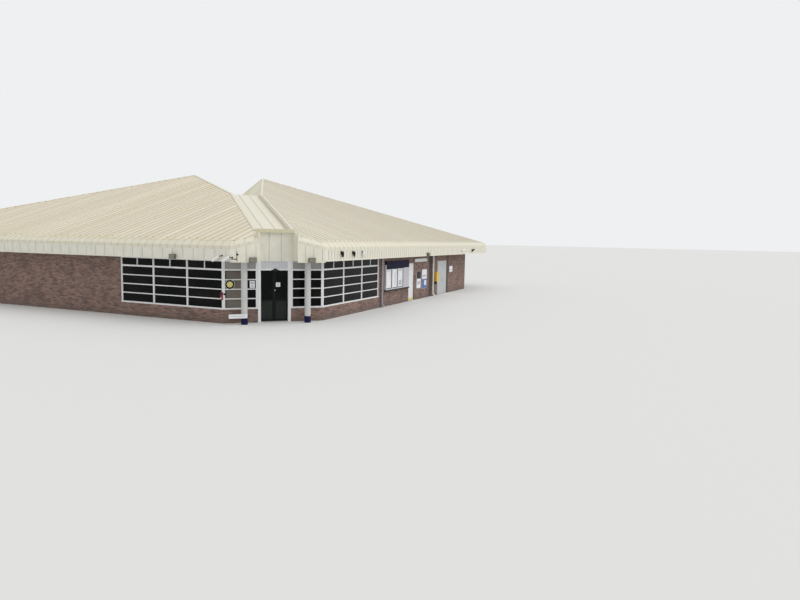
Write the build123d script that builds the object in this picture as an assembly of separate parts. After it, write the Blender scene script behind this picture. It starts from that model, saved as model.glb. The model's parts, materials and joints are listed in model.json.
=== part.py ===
from build123d import *
import math
import os

# A single-storey railway station: an eight-sided brick and glass hall under a square
# sheet-metal roof that a level channel cuts in two along its entrance diagonal.
# Millimetres, +Z up. The origin is on the ground under the middle of the roof.
# The platform side faces -Y, the forecourt side faces -X, the entrance is between them.

# Roof in plan
ROOF_SIDE = 30400
EAVE_OVERHANG = 650
ENTRANCE_OVERHANG = 1120

# Walls in plan
CORNER_CUT = 3260
WALL_THICK = 300
ENTRANCE_THICK = 120

# Heights
FLOOR_THICK = 30
SOFFIT_HEIGHT = 2870
EAVE_TOP = 3670
CHANNEL_HEIGHT = 6420

# Roof section
ROOF_PITCH = 1 / 3
ROOF_THICK = 150
STRIP_WIDTH = 1680
CHEEK_RISE = 1.15
FASCIA_THICK = 50
SOFFIT_THICK = 20
SOFFIT_BEARING = 80
CRANK_DEPTH = 200
CRANK_DROP = 150
STRIP_DROP = 200
UPSTAND_THICK = 30
FASCIA_LIP_DEPTH = 30
FASCIA_LIP_HEIGHT = 55
HIP_CAP_WIDTH = 300
VERGE_CAP_WIDTH = 200
CAP_STRIP_RISE = 30

# Canopy notch over the entrance
NOTCH_CHEEK_THICK = 50
GABLE_THICK = 50
GABLE_BOTTOM = 2820
CAP_HEIGHT = 170
CAP_DEPTH = 120
CAP_RISE = 268
ENTRANCE_FASCIA_DROP = 60

# Window screens
BAY_WIDTH = 2040
BAY_COUNT = 3
FRAME_WIDTH = 90
FRAME_DEPTH = 100
FRAME_SETBACK = 20
SILL_BOTTOM = 630
SILL_HEIGHT = 70
TRANSOM_HEIGHT = 2429
TRANSOM_DEPTH = 80
GLASS_THICK = 16

# Entrance screen
DOOR_OPENING = 1260
DOOR_POST = 130
DOOR_HEAD = 2400
DOOR_HEAD_BAR = 60
BOARD_THICK = 60
LEAF_THICK = 45
LEAF_LAP = 30
LEAF_RUN_GAP = 8
LEAF_MEETING_GAP = 6
LEAF_FLOOR_GAP = 8
LEAF_FRAME = 70
LEAF_RAIL_HEIGHT = 1000
LEAF_TRAVEL = 600
TRACK_RISE = 80
TRACK_HEIGHT = 90
TRACK_WALL = 6
TRACK_SLOT = 24
ROLLER_DIAMETER = 30
ROLLER_LENGTH = 36
ROLLER_SHARES = (0.25, 0.75)
STEM_WIDTH = 60
STEM_THICK = 12
RUN_CLEARANCE = 0.3

# Hinged doors on the platform wall, from the entrance end of that wall
STAFF_DOOR_AT = 10650
STAFF_DOOR_OPENING = 950
STORE_DOOR_AT = 16050
STORE_DOOR_OPENING = 2100
SERVICE_DOOR_HEAD = 2420
JAMB = 50
DOOR_THICK = 44
DOOR_GAP = 8
DOOR_SETBACK = 60
HINGE_RADIUS = 9
HINGE_LENGTH = 100
HINGE_GAP = 0.3
HINGE_TONGUE = 6
HINGE_HEIGHTS = (300, 1200, 2100)

# Columns of the canopy
COLUMN_DIAMETER = 280
COLUMN_OFFSET = 1440
COLUMN_SETOUT = 500
BASE_DIAMETER = 300
BASE_HEIGHT = 310

# Fittings
CASE_AT = 6970
CASE_LENGTH = 3500
CASE_BOTTOM = 960
CASE_HEIGHT = 1460
CASE_DEPTH = 110
CASE_RIM = 60
CASE_HEADER = 230
CASE_BACK = 70
CASE_PANELS = 4
PIPE_DIAMETER = 110
PIPE_POSITIONS = (6480, 14900)
PIPE_STANDOFF = 40
PIPE_FOOT = 190
PIPE_BRACKETS = (600, 2200)
BRACKET_HEIGHT = 30
SHOE_LENGTH = 190
SHOE_ANGLE = 50
LIGHT_SIZE = (310, 130, 220)
CANOPY_LIGHT_OFFSETS = (-1155, 1465)
SIDE_LIGHT_AT = 2050
PLATFORM_LIGHT_AT = 12040

# Placements that follow from the sizes above
HALF_ROOF = ROOF_SIDE / 2
HALF_WALL = HALF_ROOF - EAVE_OVERHANG
WALL_END = HALF_WALL - CORNER_CUT
WALL_LENGTH = 2 * WALL_END
CORNER_LENGTH = CORNER_CUT * math.sqrt(2)
ENTRANCE_U = -(HALF_WALL + WALL_END) / math.sqrt(2)
CANOPY_U = ENTRANCE_U - ENTRANCE_OVERHANG
DIAGONAL_PITCH = ROOF_PITCH / math.sqrt(2)
HALF_STRIP = STRIP_WIDTH / 2
HALF_NOTCH = HALF_STRIP + NOTCH_CHEEK_THICK
SCREEN_LENGTH = BAY_COUNT * BAY_WIDTH + FRAME_WIDTH
APEX_HEIGHT = EAVE_TOP + HALF_ROOF * ROOF_PITCH
PEAK_S = (APEX_HEIGHT - CHANNEL_HEIGHT + CHEEK_RISE * HALF_STRIP) / (CHEEK_RISE + DIAGONAL_PITCH)
PEAK_HEIGHT = APEX_HEIGHT - DIAGONAL_PITCH * PEAK_S
CHANNEL_U = HALF_STRIP - (APEX_HEIGHT - CHANNEL_HEIGHT) / DIAGONAL_PITCH
CHANNEL_END = HALF_ROOF - (CHANNEL_HEIGHT - EAVE_TOP) / ROOF_PITCH
STRIP_FOOT = APEX_HEIGHT + DIAGONAL_PITCH * (ENTRANCE_U - HALF_STRIP) - STRIP_DROP
STRIP_HEAD_U = CHANNEL_U + STRIP_DROP / DIAGONAL_PITCH
CAP_TOP = STRIP_FOOT + CAP_RISE
CAP_BOTTOM = CAP_TOP - CAP_HEIGHT
FASCIA_TOP = EAVE_TOP - CRANK_DROP - ROOF_THICK
CANOPY_X = CANOPY_U * math.sqrt(2) + HALF_ROOF
CANOPY_S = (CANOPY_X + HALF_ROOF) / math.sqrt(2)
MITRE = math.tan(math.radians(22.5))
CRANK_LINE = HALF_ROOF - CRANK_DEPTH
LIP_EDGE = HALF_ROOF + FASCIA_LIP_DEPTH
TRACK_BOTTOM = DOOR_HEAD + TRACK_RISE
TRACK_TOP = TRACK_BOTTOM + TRACK_HEIGHT


def export(shape, name):
    """Write one node's solids to its own file."""
    export_step(shape, f"parts/{name}.step")


def diagonal(u, s):
    """Plan point from u, inwards along the entrance diagonal, and s, across it."""
    return (u + s) / math.sqrt(2), (u - s) / math.sqrt(2)


def slope_height(y):
    """Top of the platform slope at depth y."""
    return EAVE_TOP + (HALF_ROOF + y) * ROOF_PITCH


def diagonal_height(u, s):
    """Top of the platform slope at a point given along and across the diagonal."""
    return slope_height(diagonal(u, s)[1])


def prism(points, z0, z1):
    """Upright solid on a plan outline."""
    face = make_face(Polyline(*[(x, y, z0) for x, y in points], close=True))
    return extrude(face, amount=z1 - z0, dir=(0, 0, 1))


def plate(points, thick):
    """Sloping plate: an outline in space, thickened straight down."""
    face = make_face(Polyline(*points, close=True))
    return extrude(face, amount=thick, dir=(0, 0, -1))


def block(x0, x1, y0, y1, z0, z1):
    """Box between two opposite corners."""
    centre = Pos((x0 + x1) / 2, (y0 + y1) / 2, (z0 + z1) / 2)
    return centre * Box(x1 - x0, y1 - y0, z1 - z0)


def across_diagonal(shape):
    """Mirror from the platform side to the forecourt side."""
    return mirror(shape, about=Plane(origin=(0, 0, 0), z_dir=(1, -1, 0)))


def turned(shape):
    """Half a turn about the middle of the roof."""
    return Rot(0, 0, 180) * shape


def both_sides(shape):
    """A solid and its mirror image across the entrance diagonal."""
    return Compound(children=[shape, across_diagonal(shape)])


def on_platform(d0, d1, e0, e1, z0, z1, mitred=False):
    """Block in the platform wall: d along it from the entrance end, e into it."""
    x0 = d0 - WALL_END
    x1 = d1 - WALL_END
    start = MITRE if mitred else 0
    outline = [
        (x0 + e0 * start, e0 - HALF_WALL),
        (x1, e0 - HALF_WALL),
        (x1, e1 - HALF_WALL),
        (x0 + e1 * start, e1 - HALF_WALL),
    ]
    return prism(outline, z0, z1)


def on_entrance(s0, s1, e0, e1, z0, z1, mitred=False):
    """Block in the entrance wall: s across from its middle, e into it."""
    end = MITRE if mitred else 0
    outline = [
        diagonal(ENTRANCE_U + e0, s0),
        diagonal(ENTRANCE_U + e0, s1 - e0 * end),
        diagonal(ENTRANCE_U + e1, s1 - e1 * end),
        diagonal(ENTRANCE_U + e1, s0),
    ]
    return prism(outline, z0, z1)


def make_floor():
    """Floor inside the walls, which runs out through the doorways."""
    half = HALF_WALL - WALL_THICK
    end = WALL_END - WALL_THICK * MITRE
    outline = [
        (-end, -half), (end, -half), (half, -end), (half, end),
        (end, half), (-end, half), (-half, end), (-half, -end),
    ]
    floor = prism(outline, 0, FLOOR_THICK)
    lining = on_entrance(0, CORNER_LENGTH / 2, ENTRANCE_THICK, WALL_THICK, 0, FLOOR_THICK, mitred=True)
    floor += lining
    floor += across_diagonal(lining)
    floor += on_entrance(-DOOR_OPENING / 2, DOOR_OPENING / 2, 0, ENTRANCE_THICK, 0, FLOOR_THICK)
    for at, opening in ((STAFF_DOOR_AT, STAFF_DOOR_OPENING), (STORE_DOOR_AT, STORE_DOOR_OPENING)):
        floor += on_platform(at, at + opening, 0, WALL_THICK, 0, FLOOR_THICK)
    return floor


def wall_to_corner(start):
    """Full-height platform wall from d = start to its mitred far end."""
    outline = [
        (start - WALL_END, -HALF_WALL),
        (WALL_END, -HALF_WALL),
        (WALL_END - WALL_THICK * MITRE, WALL_THICK - HALF_WALL),
        (start - WALL_END, WALL_THICK - HALF_WALL),
    ]
    return prism(outline, 0, SOFFIT_HEIGHT)


def make_brick_walls():
    """Full-height brick walls and the pieces over the two service doors."""
    staff_end = STAFF_DOOR_AT + STAFF_DOOR_OPENING
    store_end = STORE_DOOR_AT + STORE_DOOR_OPENING
    export(on_platform(SCREEN_LENGTH, STAFF_DOOR_AT, 0, WALL_THICK, 0, SOFFIT_HEIGHT), "platform_wall_near")
    export(on_platform(staff_end, STORE_DOOR_AT, 0, WALL_THICK, 0, SOFFIT_HEIGHT), "platform_wall_middle")
    export(wall_to_corner(store_end), "platform_wall_far")
    heads = [
        on_platform(STAFF_DOOR_AT, staff_end, 0, WALL_THICK, SERVICE_DOOR_HEAD, SOFFIT_HEIGHT),
        on_platform(STORE_DOOR_AT, store_end, 0, WALL_THICK, SERVICE_DOOR_HEAD, SOFFIT_HEIGHT),
    ]
    export(Compound(children=heads), "service_door_heads")

    long_wall = wall_to_corner(SCREEN_LENGTH)
    export(across_diagonal(long_wall), "forecourt_wall")
    export(turned(across_diagonal(long_wall)), "far_wall")
    export(turned(long_wall), "rear_wall")

    corner_outline = [
        (WALL_END, -HALF_WALL),
        (HALF_WALL, -WALL_END),
        (HALF_WALL - WALL_THICK, -WALL_END + WALL_THICK * MITRE),
        (WALL_END - WALL_THICK * MITRE, WALL_THICK - HALF_WALL),
    ]
    corner = prism(corner_outline, 0, SOFFIT_HEIGHT)
    export(Compound(children=[Rot(0, 0, 90 * i) * corner for i in range(3)]), "corner_walls")


def make_dados():
    """Brick dados under the window screens."""
    dado = on_platform(0, SCREEN_LENGTH, 0, WALL_THICK, 0, SILL_BOTTOM, mitred=True)
    pair = [dado, across_diagonal(dado)]
    export(Compound(children=pair + [turned(piece) for piece in pair]), "window_dados")
    edge = DOOR_OPENING / 2 + DOOR_POST
    side = on_entrance(edge, CORNER_LENGTH / 2, 0, ENTRANCE_THICK, 0, SILL_BOTTOM, mitred=True)
    export(both_sides(side), "entrance_dados")


def screen_bars(length, mullions, place):
    """Sill, head, transom and posts of a screen, fused into one frame."""
    e0 = FRAME_SETBACK
    e1 = FRAME_SETBACK + FRAME_DEPTH
    bars = place(0, length, 0, e1, SILL_BOTTOM, SILL_BOTTOM + SILL_HEIGHT, True)
    bars += place(0, length, e0, e1, SOFFIT_HEIGHT - SILL_HEIGHT, SOFFIT_HEIGHT, True)
    half = TRANSOM_DEPTH / 2
    bars += place(0, length, e0, e1, TRANSOM_HEIGHT - half, TRANSOM_HEIGHT + half, True)
    bars += place(0, FRAME_WIDTH, e0, e1, SILL_BOTTOM, SOFFIT_HEIGHT, True)
    for d in mullions:
        bars += place(d - FRAME_WIDTH, d, e0, e1, SILL_BOTTOM, SOFFIT_HEIGHT, False)
    return bars


def make_screens():
    """White window frames, the sheets of glass in them and the solid upper panels."""
    def on_canted(d0, d1, e0, e1, z0, z1, mitred=False):
        return on_entrance(CORNER_LENGTH / 2 - d1, CORNER_LENGTH / 2 - d0, e0, e1, z0, z1, mitred)

    mullions = [FRAME_WIDTH + BAY_WIDTH * (i + 1) for i in range(BAY_COUNT)]
    frame = screen_bars(SCREEN_LENGTH, mullions, on_platform)
    pair = [frame, across_diagonal(frame)]
    export(Compound(children=pair + [turned(piece) for piece in pair]), "window_frames")

    canted_length = (CORNER_LENGTH - DOOR_OPENING) / 2 - DOOR_POST
    canted = screen_bars(canted_length, [canted_length], on_canted)
    export(both_sides(canted), "entrance_window_frames")

    g0 = FRAME_SETBACK + (FRAME_DEPTH - GLASS_THICK) / 2
    g1 = g0 + GLASS_THICK
    z0 = SILL_BOTTOM + SILL_HEIGHT
    z1 = SOFFIT_HEIGHT - SILL_HEIGHT
    sheet = on_platform(FRAME_WIDTH, SCREEN_LENGTH - FRAME_WIDTH, g0, g1, z0, z1) - frame
    sheets = [sheet, across_diagonal(sheet)]
    sheets += [turned(piece) for piece in sheets]
    half = TRANSOM_DEPTH / 2
    pane = on_canted(FRAME_WIDTH, canted_length - FRAME_WIDTH, g0, g1, z0, TRANSOM_HEIGHT - half)
    export(Compound(children=sheets + [pane, across_diagonal(pane)]), "window_glass")
    panel = on_canted(FRAME_WIDTH, canted_length - FRAME_WIDTH, g0, g1, TRANSOM_HEIGHT + half, z1)
    export(both_sides(panel), "entrance_upper_panels")


def make_portal():
    """Posts, head bar and blank sign board round the entrance."""
    half = DOOR_OPENING / 2
    post = on_entrance(half, half + DOOR_POST, 0, ENTRANCE_THICK, 0, SOFFIT_HEIGHT)
    bar = on_entrance(-half, half, 0, ENTRANCE_THICK, DOOR_HEAD, DOOR_HEAD + DOOR_HEAD_BAR)
    board = on_entrance(-half, half, 0, BOARD_THICK, DOOR_HEAD + DOOR_HEAD_BAR, SOFFIT_HEIGHT)
    export(post + across_diagonal(post) + bar + board, "entrance_portal")


def make_columns():
    """Two round columns on painted bases under the canopy."""
    columns = []
    bases = []
    for s in (-COLUMN_OFFSET, COLUMN_OFFSET):
        x, y = diagonal(ENTRANCE_U - COLUMN_SETOUT, s)
        height = SOFFIT_HEIGHT - BASE_HEIGHT
        columns.append(Pos(x, y, BASE_HEIGHT + height / 2) * Cylinder(COLUMN_DIAMETER / 2, height))
        bases.append(Pos(x, y, BASE_HEIGHT / 2) * Cylinder(BASE_DIAMETER / 2, BASE_HEIGHT))
    export(Compound(children=columns), "columns")
    export(Compound(children=bases), "column_bases")


def make_leaf():
    """Sliding leaf on the platform side of the entrance, with its rollers, and its glass."""
    e0 = ENTRANCE_THICK + LEAF_RUN_GAP
    e1 = e0 + LEAF_THICK
    middle = (e0 + e1) / 2
    s0 = LEAF_MEETING_GAP / 2
    s1 = DOOR_OPENING / 2 + LEAF_LAP
    z0 = FLOOR_THICK + LEAF_FLOOR_GAP
    z1 = DOOR_HEAD + LEAF_LAP
    frame = on_entrance(s0, s1, e0, e1, z0, z1)
    rail_top = LEAF_RAIL_HEIGHT + LEAF_FRAME / 2
    rail_bottom = LEAF_RAIL_HEIGHT - LEAF_FRAME / 2
    glass = []
    for g0, g1 in ((z0 + LEAF_FRAME, rail_bottom), (rail_top, z1 - LEAF_FRAME)):
        frame -= on_entrance(s0 + LEAF_FRAME, s1 - LEAF_FRAME, e0, e1, g0, g1)
        half = GLASS_THICK / 2
        pane = on_entrance(s0 + LEAF_FRAME, s1 - LEAF_FRAME, middle - half, middle + half, g0, g1)
        glass.append(pane)
    lip_top = TRACK_BOTTOM + TRACK_WALL
    roller = ROLLER_DIAMETER / 2
    for share in ROLLER_SHARES:
        s = s0 + (s1 - s0) * share
        stem_top = lip_top + RUN_CLEARANCE + roller
        frame += on_entrance(s - STEM_WIDTH / 2, s + STEM_WIDTH / 2, middle - STEM_THICK / 2,
                             middle + STEM_THICK / 2, z1, stem_top)
        x, y = diagonal(ENTRANCE_U + middle, s)
        axle = Pos(x, y, stem_top) * Rot(0, 0, 45) * Rot(0, 90, 0)
        frame += axle * Cylinder(roller, ROLLER_LENGTH)
    return frame, Compound(children=glass)


def make_entrance_doors():
    """Pair of sliding leaves and the channel that their rollers run in."""
    frame, glass = make_leaf()
    export(frame, "entrance_leaf_right")
    export(glass, "entrance_leaf_right_glass")
    export(across_diagonal(frame), "entrance_leaf_left")
    export(across_diagonal(glass), "entrance_leaf_left_glass")
    middle = ENTRANCE_THICK + LEAF_RUN_GAP + LEAF_THICK / 2
    half = middle - ENTRANCE_THICK
    reach = DOOR_OPENING / 2 + LEAF_LAP + LEAF_TRAVEL
    track = on_entrance(-reach, reach, middle - half, middle + half, TRACK_BOTTOM, TRACK_TOP)
    track -= on_entrance(-reach, reach, middle - half + TRACK_WALL, middle + half - TRACK_WALL,
                         TRACK_BOTTOM + TRACK_WALL, TRACK_TOP - TRACK_WALL)
    track -= on_entrance(-reach, reach, middle - TRACK_SLOT / 2, middle + TRACK_SLOT / 2,
                         TRACK_BOTTOM, TRACK_BOTTOM + TRACK_WALL)
    export(track, "entrance_door_track")


def knuckle(d, z0, z1):
    """Stretch of a hinge barrel in front of the face of a door."""
    e = DOOR_SETBACK - HINGE_RADIUS
    height = z1 - z0
    return Pos(d - WALL_END, e - HALF_WALL, z0 + height / 2) * Cylinder(HINGE_RADIUS, height)


def hinge_parts(d, side):
    """Barrels and tongues of one hinged leaf: those on the frame and those on the leaf."""
    fixed = None
    moving = None
    e0 = DOOR_SETBACK - HINGE_RADIUS
    e1 = DOOR_SETBACK + HINGE_TONGUE
    third = HINGE_LENGTH / 3
    for z in HINGE_HEIGHTS:
        for part, shift in (("fixed", -1), ("moving", 0), ("fixed", 1)):
            z0 = z + (shift - 0.5) * third + HINGE_GAP / 2
            z1 = z + (shift + 0.5) * third - HINGE_GAP / 2
            way = side if part == "moving" else -side
            near = d + way * DOOR_GAP / 2
            far = near + way * HINGE_TONGUE
            tongue = on_platform(min(near, far), max(near, far), e0, e1, z0, z1)
            piece = knuckle(d, z0, z1) + tongue
            if part == "moving":
                moving = piece if moving is None else moving + piece
            else:
                fixed = piece if fixed is None else fixed + piece
    return fixed, moving


def hinged_leaf(jamb, side, width):
    """Leaf that opens outwards, hung at the jamb face d and reaching away by side."""
    top = SERVICE_DOOR_HEAD - JAMB - DOOR_GAP
    bottom = FLOOR_THICK + DOOR_GAP
    near = jamb + side * DOOR_GAP
    far = near + side * width
    leaf = on_platform(min(near, far), max(near, far), DOOR_SETBACK, DOOR_SETBACK + DOOR_THICK, bottom, top)
    axis = jamb + side * DOOR_GAP / 2
    fixed, moving = hinge_parts(axis, side)
    return leaf + moving, fixed


def door_frame(at, opening):
    """Jambs and head of a service door, set in its opening."""
    e0 = DOOR_SETBACK
    e1 = DOOR_SETBACK + FRAME_DEPTH
    frame = on_platform(at, at + JAMB, e0, e1, FLOOR_THICK, SERVICE_DOOR_HEAD)
    frame += on_platform(at + opening - JAMB, at + opening, e0, e1, FLOOR_THICK, SERVICE_DOOR_HEAD)
    frame += on_platform(at, at + opening, e0, e1, SERVICE_DOOR_HEAD - JAMB, SERVICE_DOOR_HEAD)
    return frame


def make_service_doors():
    """Single staff door and the pair of store doors, with their frames."""
    staff_width = STAFF_DOOR_OPENING - 2 * JAMB - 2 * DOOR_GAP
    staff_leaf, staff_fixed = hinged_leaf(STAFF_DOOR_AT + JAMB, 1, staff_width)
    staff_frame = door_frame(STAFF_DOOR_AT, STAFF_DOOR_OPENING) + staff_fixed
    export(staff_leaf, "staff_door")
    store_width = (STORE_DOOR_OPENING - 2 * JAMB - 3 * DOOR_GAP) / 2
    store_end = STORE_DOOR_AT + STORE_DOOR_OPENING
    left_leaf, left_fixed = hinged_leaf(STORE_DOOR_AT + JAMB, 1, store_width)
    right_leaf, right_fixed = hinged_leaf(store_end - JAMB, -1, store_width)
    store_frame = door_frame(STORE_DOOR_AT, STORE_DOOR_OPENING) + left_fixed + right_fixed
    export(left_leaf, "store_door_left")
    export(right_leaf, "store_door_right")
    export(Compound(children=[staff_frame, store_frame]), "service_door_frames")


def near_plane(points):
    """Plan points raised to the platform slope."""
    return [(x, y, slope_height(y)) for x, y in points]


def far_plane(points):
    """Plan points raised to the far slope."""
    return [(x, y, slope_height(-x)) for x, y in points]


def lowered(points, drop):
    """Points moved straight down."""
    return [(x, y, z - drop) for x, y, z in points]


def crank(eave, line):
    """Steep facet from the slope's lower line down to the eave, given from end to end."""
    return lowered(eave, CRANK_DROP) + line[::-1]


def sheet(facets, thick):
    """Plates of one thickness under adjoining facets, fused."""
    plates = [plate(facet, thick) for facet in facets]
    whole = plates[0]
    for piece in plates[1:]:
        whole += piece
    return whole


def cap_strip(facets, start, end, width):
    """Flashing laid on the facets along one line in plan, as far as they reach."""
    x0, y0 = start
    x1, y1 = end
    length = math.hypot(x1 - x0, y1 - y0)
    along_x = (x1 - x0) / length * width / 2
    along_y = (y1 - y0) / length * width / 2
    band = [
        (x0 - along_x - along_y, y0 - along_y + along_x),
        (x1 + along_x - along_y, y1 + along_y + along_x),
        (x1 + along_x + along_y, y1 + along_y - along_x),
        (x0 - along_x + along_y, y0 - along_y - along_x),
    ]
    raised = sheet([lowered(facet, -CAP_STRIP_RISE) for facet in facets], CAP_STRIP_RISE)
    return raised & prism(band, 0, 2 * APEX_HEIGHT)


def make_slopes():
    """Four roof slopes of two hipped halves, with cranked eaves, hip caps and verge caps."""
    peak = diagonal(0, PEAK_S)
    head = diagonal(CHANNEL_U, HALF_STRIP)
    foot = diagonal(ENTRANCE_U, HALF_STRIP)
    edge = near_plane([peak, head, foot, diagonal(ENTRANCE_U, HALF_NOTCH)])
    canopy_line = [
        diagonal(CANOPY_U + CRANK_DEPTH, HALF_NOTCH),
        (CANOPY_X + CRANK_DEPTH * MITRE, -CRANK_LINE),
        (CRANK_LINE, -CRANK_LINE),
    ]
    line = near_plane(canopy_line)
    eave = near_plane([diagonal(CANOPY_U, HALF_NOTCH), (CANOPY_X, -HALF_ROOF), (HALF_ROOF, -HALF_ROOF)])
    facets = [edge + line, crank(eave[:2], line[:2]), crank(eave[1:], line[1:])]
    slope = sheet(facets, ROOF_THICK)
    slope += cap_strip(facets, (HALF_ROOF, -HALF_ROOF), peak, HIP_CAP_WIDTH)
    slope += cap_strip(facets[:1], peak, head, VERGE_CAP_WIDTH)
    slope += cap_strip(facets[:1], head, foot, VERGE_CAP_WIDTH)
    export(slope, "roof_platform_slope")
    export(across_diagonal(slope), "roof_forecourt_slope")

    far_foot = (CHANNEL_END, CHANNEL_END)
    far_head = (CHANNEL_END, CHANNEL_END - STRIP_WIDTH / math.sqrt(2))
    edge = far_plane([far_foot, far_head, peak])
    line = far_plane([(CRANK_LINE, -CRANK_LINE), (CRANK_LINE, CRANK_LINE)])
    eave = far_plane([(HALF_ROOF, -HALF_ROOF), (HALF_ROOF, HALF_ROOF)])
    facets = [edge + line, crank(eave, line)]
    slope = sheet(facets, ROOF_THICK)
    slope += cap_strip(facets, (HALF_ROOF, -HALF_ROOF), peak, HIP_CAP_WIDTH)
    slope += cap_strip(facets, (HALF_ROOF, HALF_ROOF), far_foot, HIP_CAP_WIDTH)
    slope += cap_strip(facets[:1], peak, far_head, VERGE_CAP_WIDTH)
    export(slope, "roof_far_slope")
    export(across_diagonal(slope), "roof_rear_slope")


def make_channel():
    """Level channel between the halves, its sloping cheeks and the sunk entrance strip."""
    end_u = CHANNEL_END * math.sqrt(2)
    front = diagonal(CHANNEL_U, HALF_STRIP)
    back = diagonal(end_u - HALF_STRIP, HALF_STRIP)
    half_floor = [
        diagonal(STRIP_HEAD_U, 0),
        diagonal(STRIP_HEAD_U, HALF_STRIP),
        back,
        (CHANNEL_END, CHANNEL_END),
    ]
    floor = prism(half_floor, CHANNEL_HEIGHT - ROOF_THICK, CHANNEL_HEIGHT)
    export(floor + across_diagonal(floor), "roof_channel_floor")
    cheek = plate([
        (*front, CHANNEL_HEIGHT),
        (*back, CHANNEL_HEIGHT),
        (*diagonal(0, PEAK_S), PEAK_HEIGHT),
    ], ROOF_THICK)
    export(both_sides(cheek), "roof_channel_cheeks")
    strip = plate([
        (*diagonal(ENTRANCE_U, -HALF_STRIP), STRIP_FOOT),
        (*diagonal(ENTRANCE_U, HALF_STRIP), STRIP_FOOT),
        (*diagonal(STRIP_HEAD_U, HALF_STRIP), CHANNEL_HEIGHT),
        (*diagonal(STRIP_HEAD_U, -HALF_STRIP), CHANNEL_HEIGHT),
    ], ROOF_THICK)
    upstand = upstand_beside_strip()
    export(strip + upstand + across_diagonal(upstand), "roof_entrance_strip")


def upstand_beside_strip():
    """Upright side of the strip, from its underside up to the platform slope and channel."""
    side = [
        (ENTRANCE_U, STRIP_FOOT - ROOF_THICK),
        (ENTRANCE_U, STRIP_FOOT + STRIP_DROP),
        (CHANNEL_U, CHANNEL_HEIGHT),
        (STRIP_HEAD_U, CHANNEL_HEIGHT),
        (STRIP_HEAD_U, CHANNEL_HEIGHT - ROOF_THICK),
    ]
    face = make_face(Polyline(*[(*diagonal(u, HALF_STRIP), z) for u, z in side], close=True))
    return extrude(face, amount=UPSTAND_THICK, dir=(-1, 1, 0))


def make_gable():
    """Upright panel over the entrance that closes the foot of the strip, and its cap."""
    gable = on_entrance(-HALF_STRIP, HALF_STRIP, -GABLE_THICK, 0, GABLE_BOTTOM, CAP_TOP)
    export(gable, "entrance_gable")
    front = -GABLE_THICK - CAP_DEPTH
    cap = on_entrance(-HALF_NOTCH, HALF_NOTCH, front, -GABLE_THICK, CAP_BOTTOM, CAP_TOP)
    export(cap, "entrance_cap")


def make_fascias():
    """Vertical eave panels on all sides of the roof, with the cheeks of the canopy notch."""
    t = FASCIA_THICK
    inner = HALF_ROOF - t
    platform = [
        (CANOPY_X, -HALF_ROOF),
        (HALF_ROOF, -HALF_ROOF),
        (inner, -inner),
        (CANOPY_X + t * MITRE, -inner),
    ]
    rear = [(-HALF_ROOF, HALF_ROOF), (HALF_ROOF, HALF_ROOF), (inner, inner), (-inner, inner)]
    lip = [
        (CANOPY_X, -HALF_ROOF),
        (HALF_ROOF, -HALF_ROOF),
        (LIP_EDGE, -LIP_EDGE),
        (CANOPY_X - FASCIA_LIP_DEPTH * MITRE, -LIP_EDGE),
    ]
    rear_lip = [(-HALF_ROOF, HALF_ROOF), (HALF_ROOF, HALF_ROOF), (LIP_EDGE, LIP_EDGE), (-LIP_EDGE, LIP_EDGE)]
    lip_top = SOFFIT_HEIGHT + FASCIA_LIP_HEIGHT
    front_piece = prism(platform, SOFFIT_HEIGHT, FASCIA_TOP) + prism(lip, SOFFIT_HEIGHT, lip_top)
    rear_piece = prism(rear, SOFFIT_HEIGHT, FASCIA_TOP) + prism(rear_lip, SOFFIT_HEIGHT, lip_top)
    export(Compound(children=[front_piece, rear_piece]), "fascia_platform_and_rear")
    others = [across_diagonal(front_piece), across_diagonal(rear_piece)]
    export(Compound(children=others), "fascia_forecourt_and_far")

    bottom = SOFFIT_HEIGHT - ENTRANCE_FASCIA_DROP
    edge_height = diagonal_height(CANOPY_U, HALF_NOTCH) - CRANK_DROP - ROOF_THICK
    elevation = [
        (HALF_STRIP, bottom),
        (CANOPY_S, bottom),
        (CANOPY_S, FASCIA_TOP),
        (HALF_NOTCH, edge_height),
        (HALF_NOTCH, CAP_BOTTOM),
        (HALF_STRIP, CAP_BOTTOM),
    ]
    face = make_face(Polyline(*[(*diagonal(CANOPY_U, s), z) for s, z in elevation], close=True))
    wing = extrude(face, amount=t, dir=(1, 1, 0))
    outline = [
        diagonal(CANOPY_U, HALF_STRIP),
        diagonal(CANOPY_U, CANOPY_S),
        diagonal(CANOPY_U + t, CANOPY_S - t * MITRE),
        diagonal(CANOPY_U + t, HALF_STRIP),
    ]
    wing = wing & prism(outline, bottom, CAP_BOTTOM)
    wing_lip = [
        diagonal(CANOPY_U, HALF_STRIP),
        diagonal(CANOPY_U, CANOPY_S),
        diagonal(CANOPY_U - FASCIA_LIP_DEPTH, CANOPY_S + FASCIA_LIP_DEPTH * MITRE),
        diagonal(CANOPY_U - FASCIA_LIP_DEPTH, HALF_STRIP),
    ]
    wing += prism(wing_lip, bottom, bottom + FASCIA_LIP_HEIGHT)
    back = t - ENTRANCE_OVERHANG
    cheek = on_entrance(HALF_STRIP, HALF_NOTCH, back, 0, SOFFIT_HEIGHT, CAP_BOTTOM)
    export(both_sides(wing + cheek), "fascia_entrance")


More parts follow.
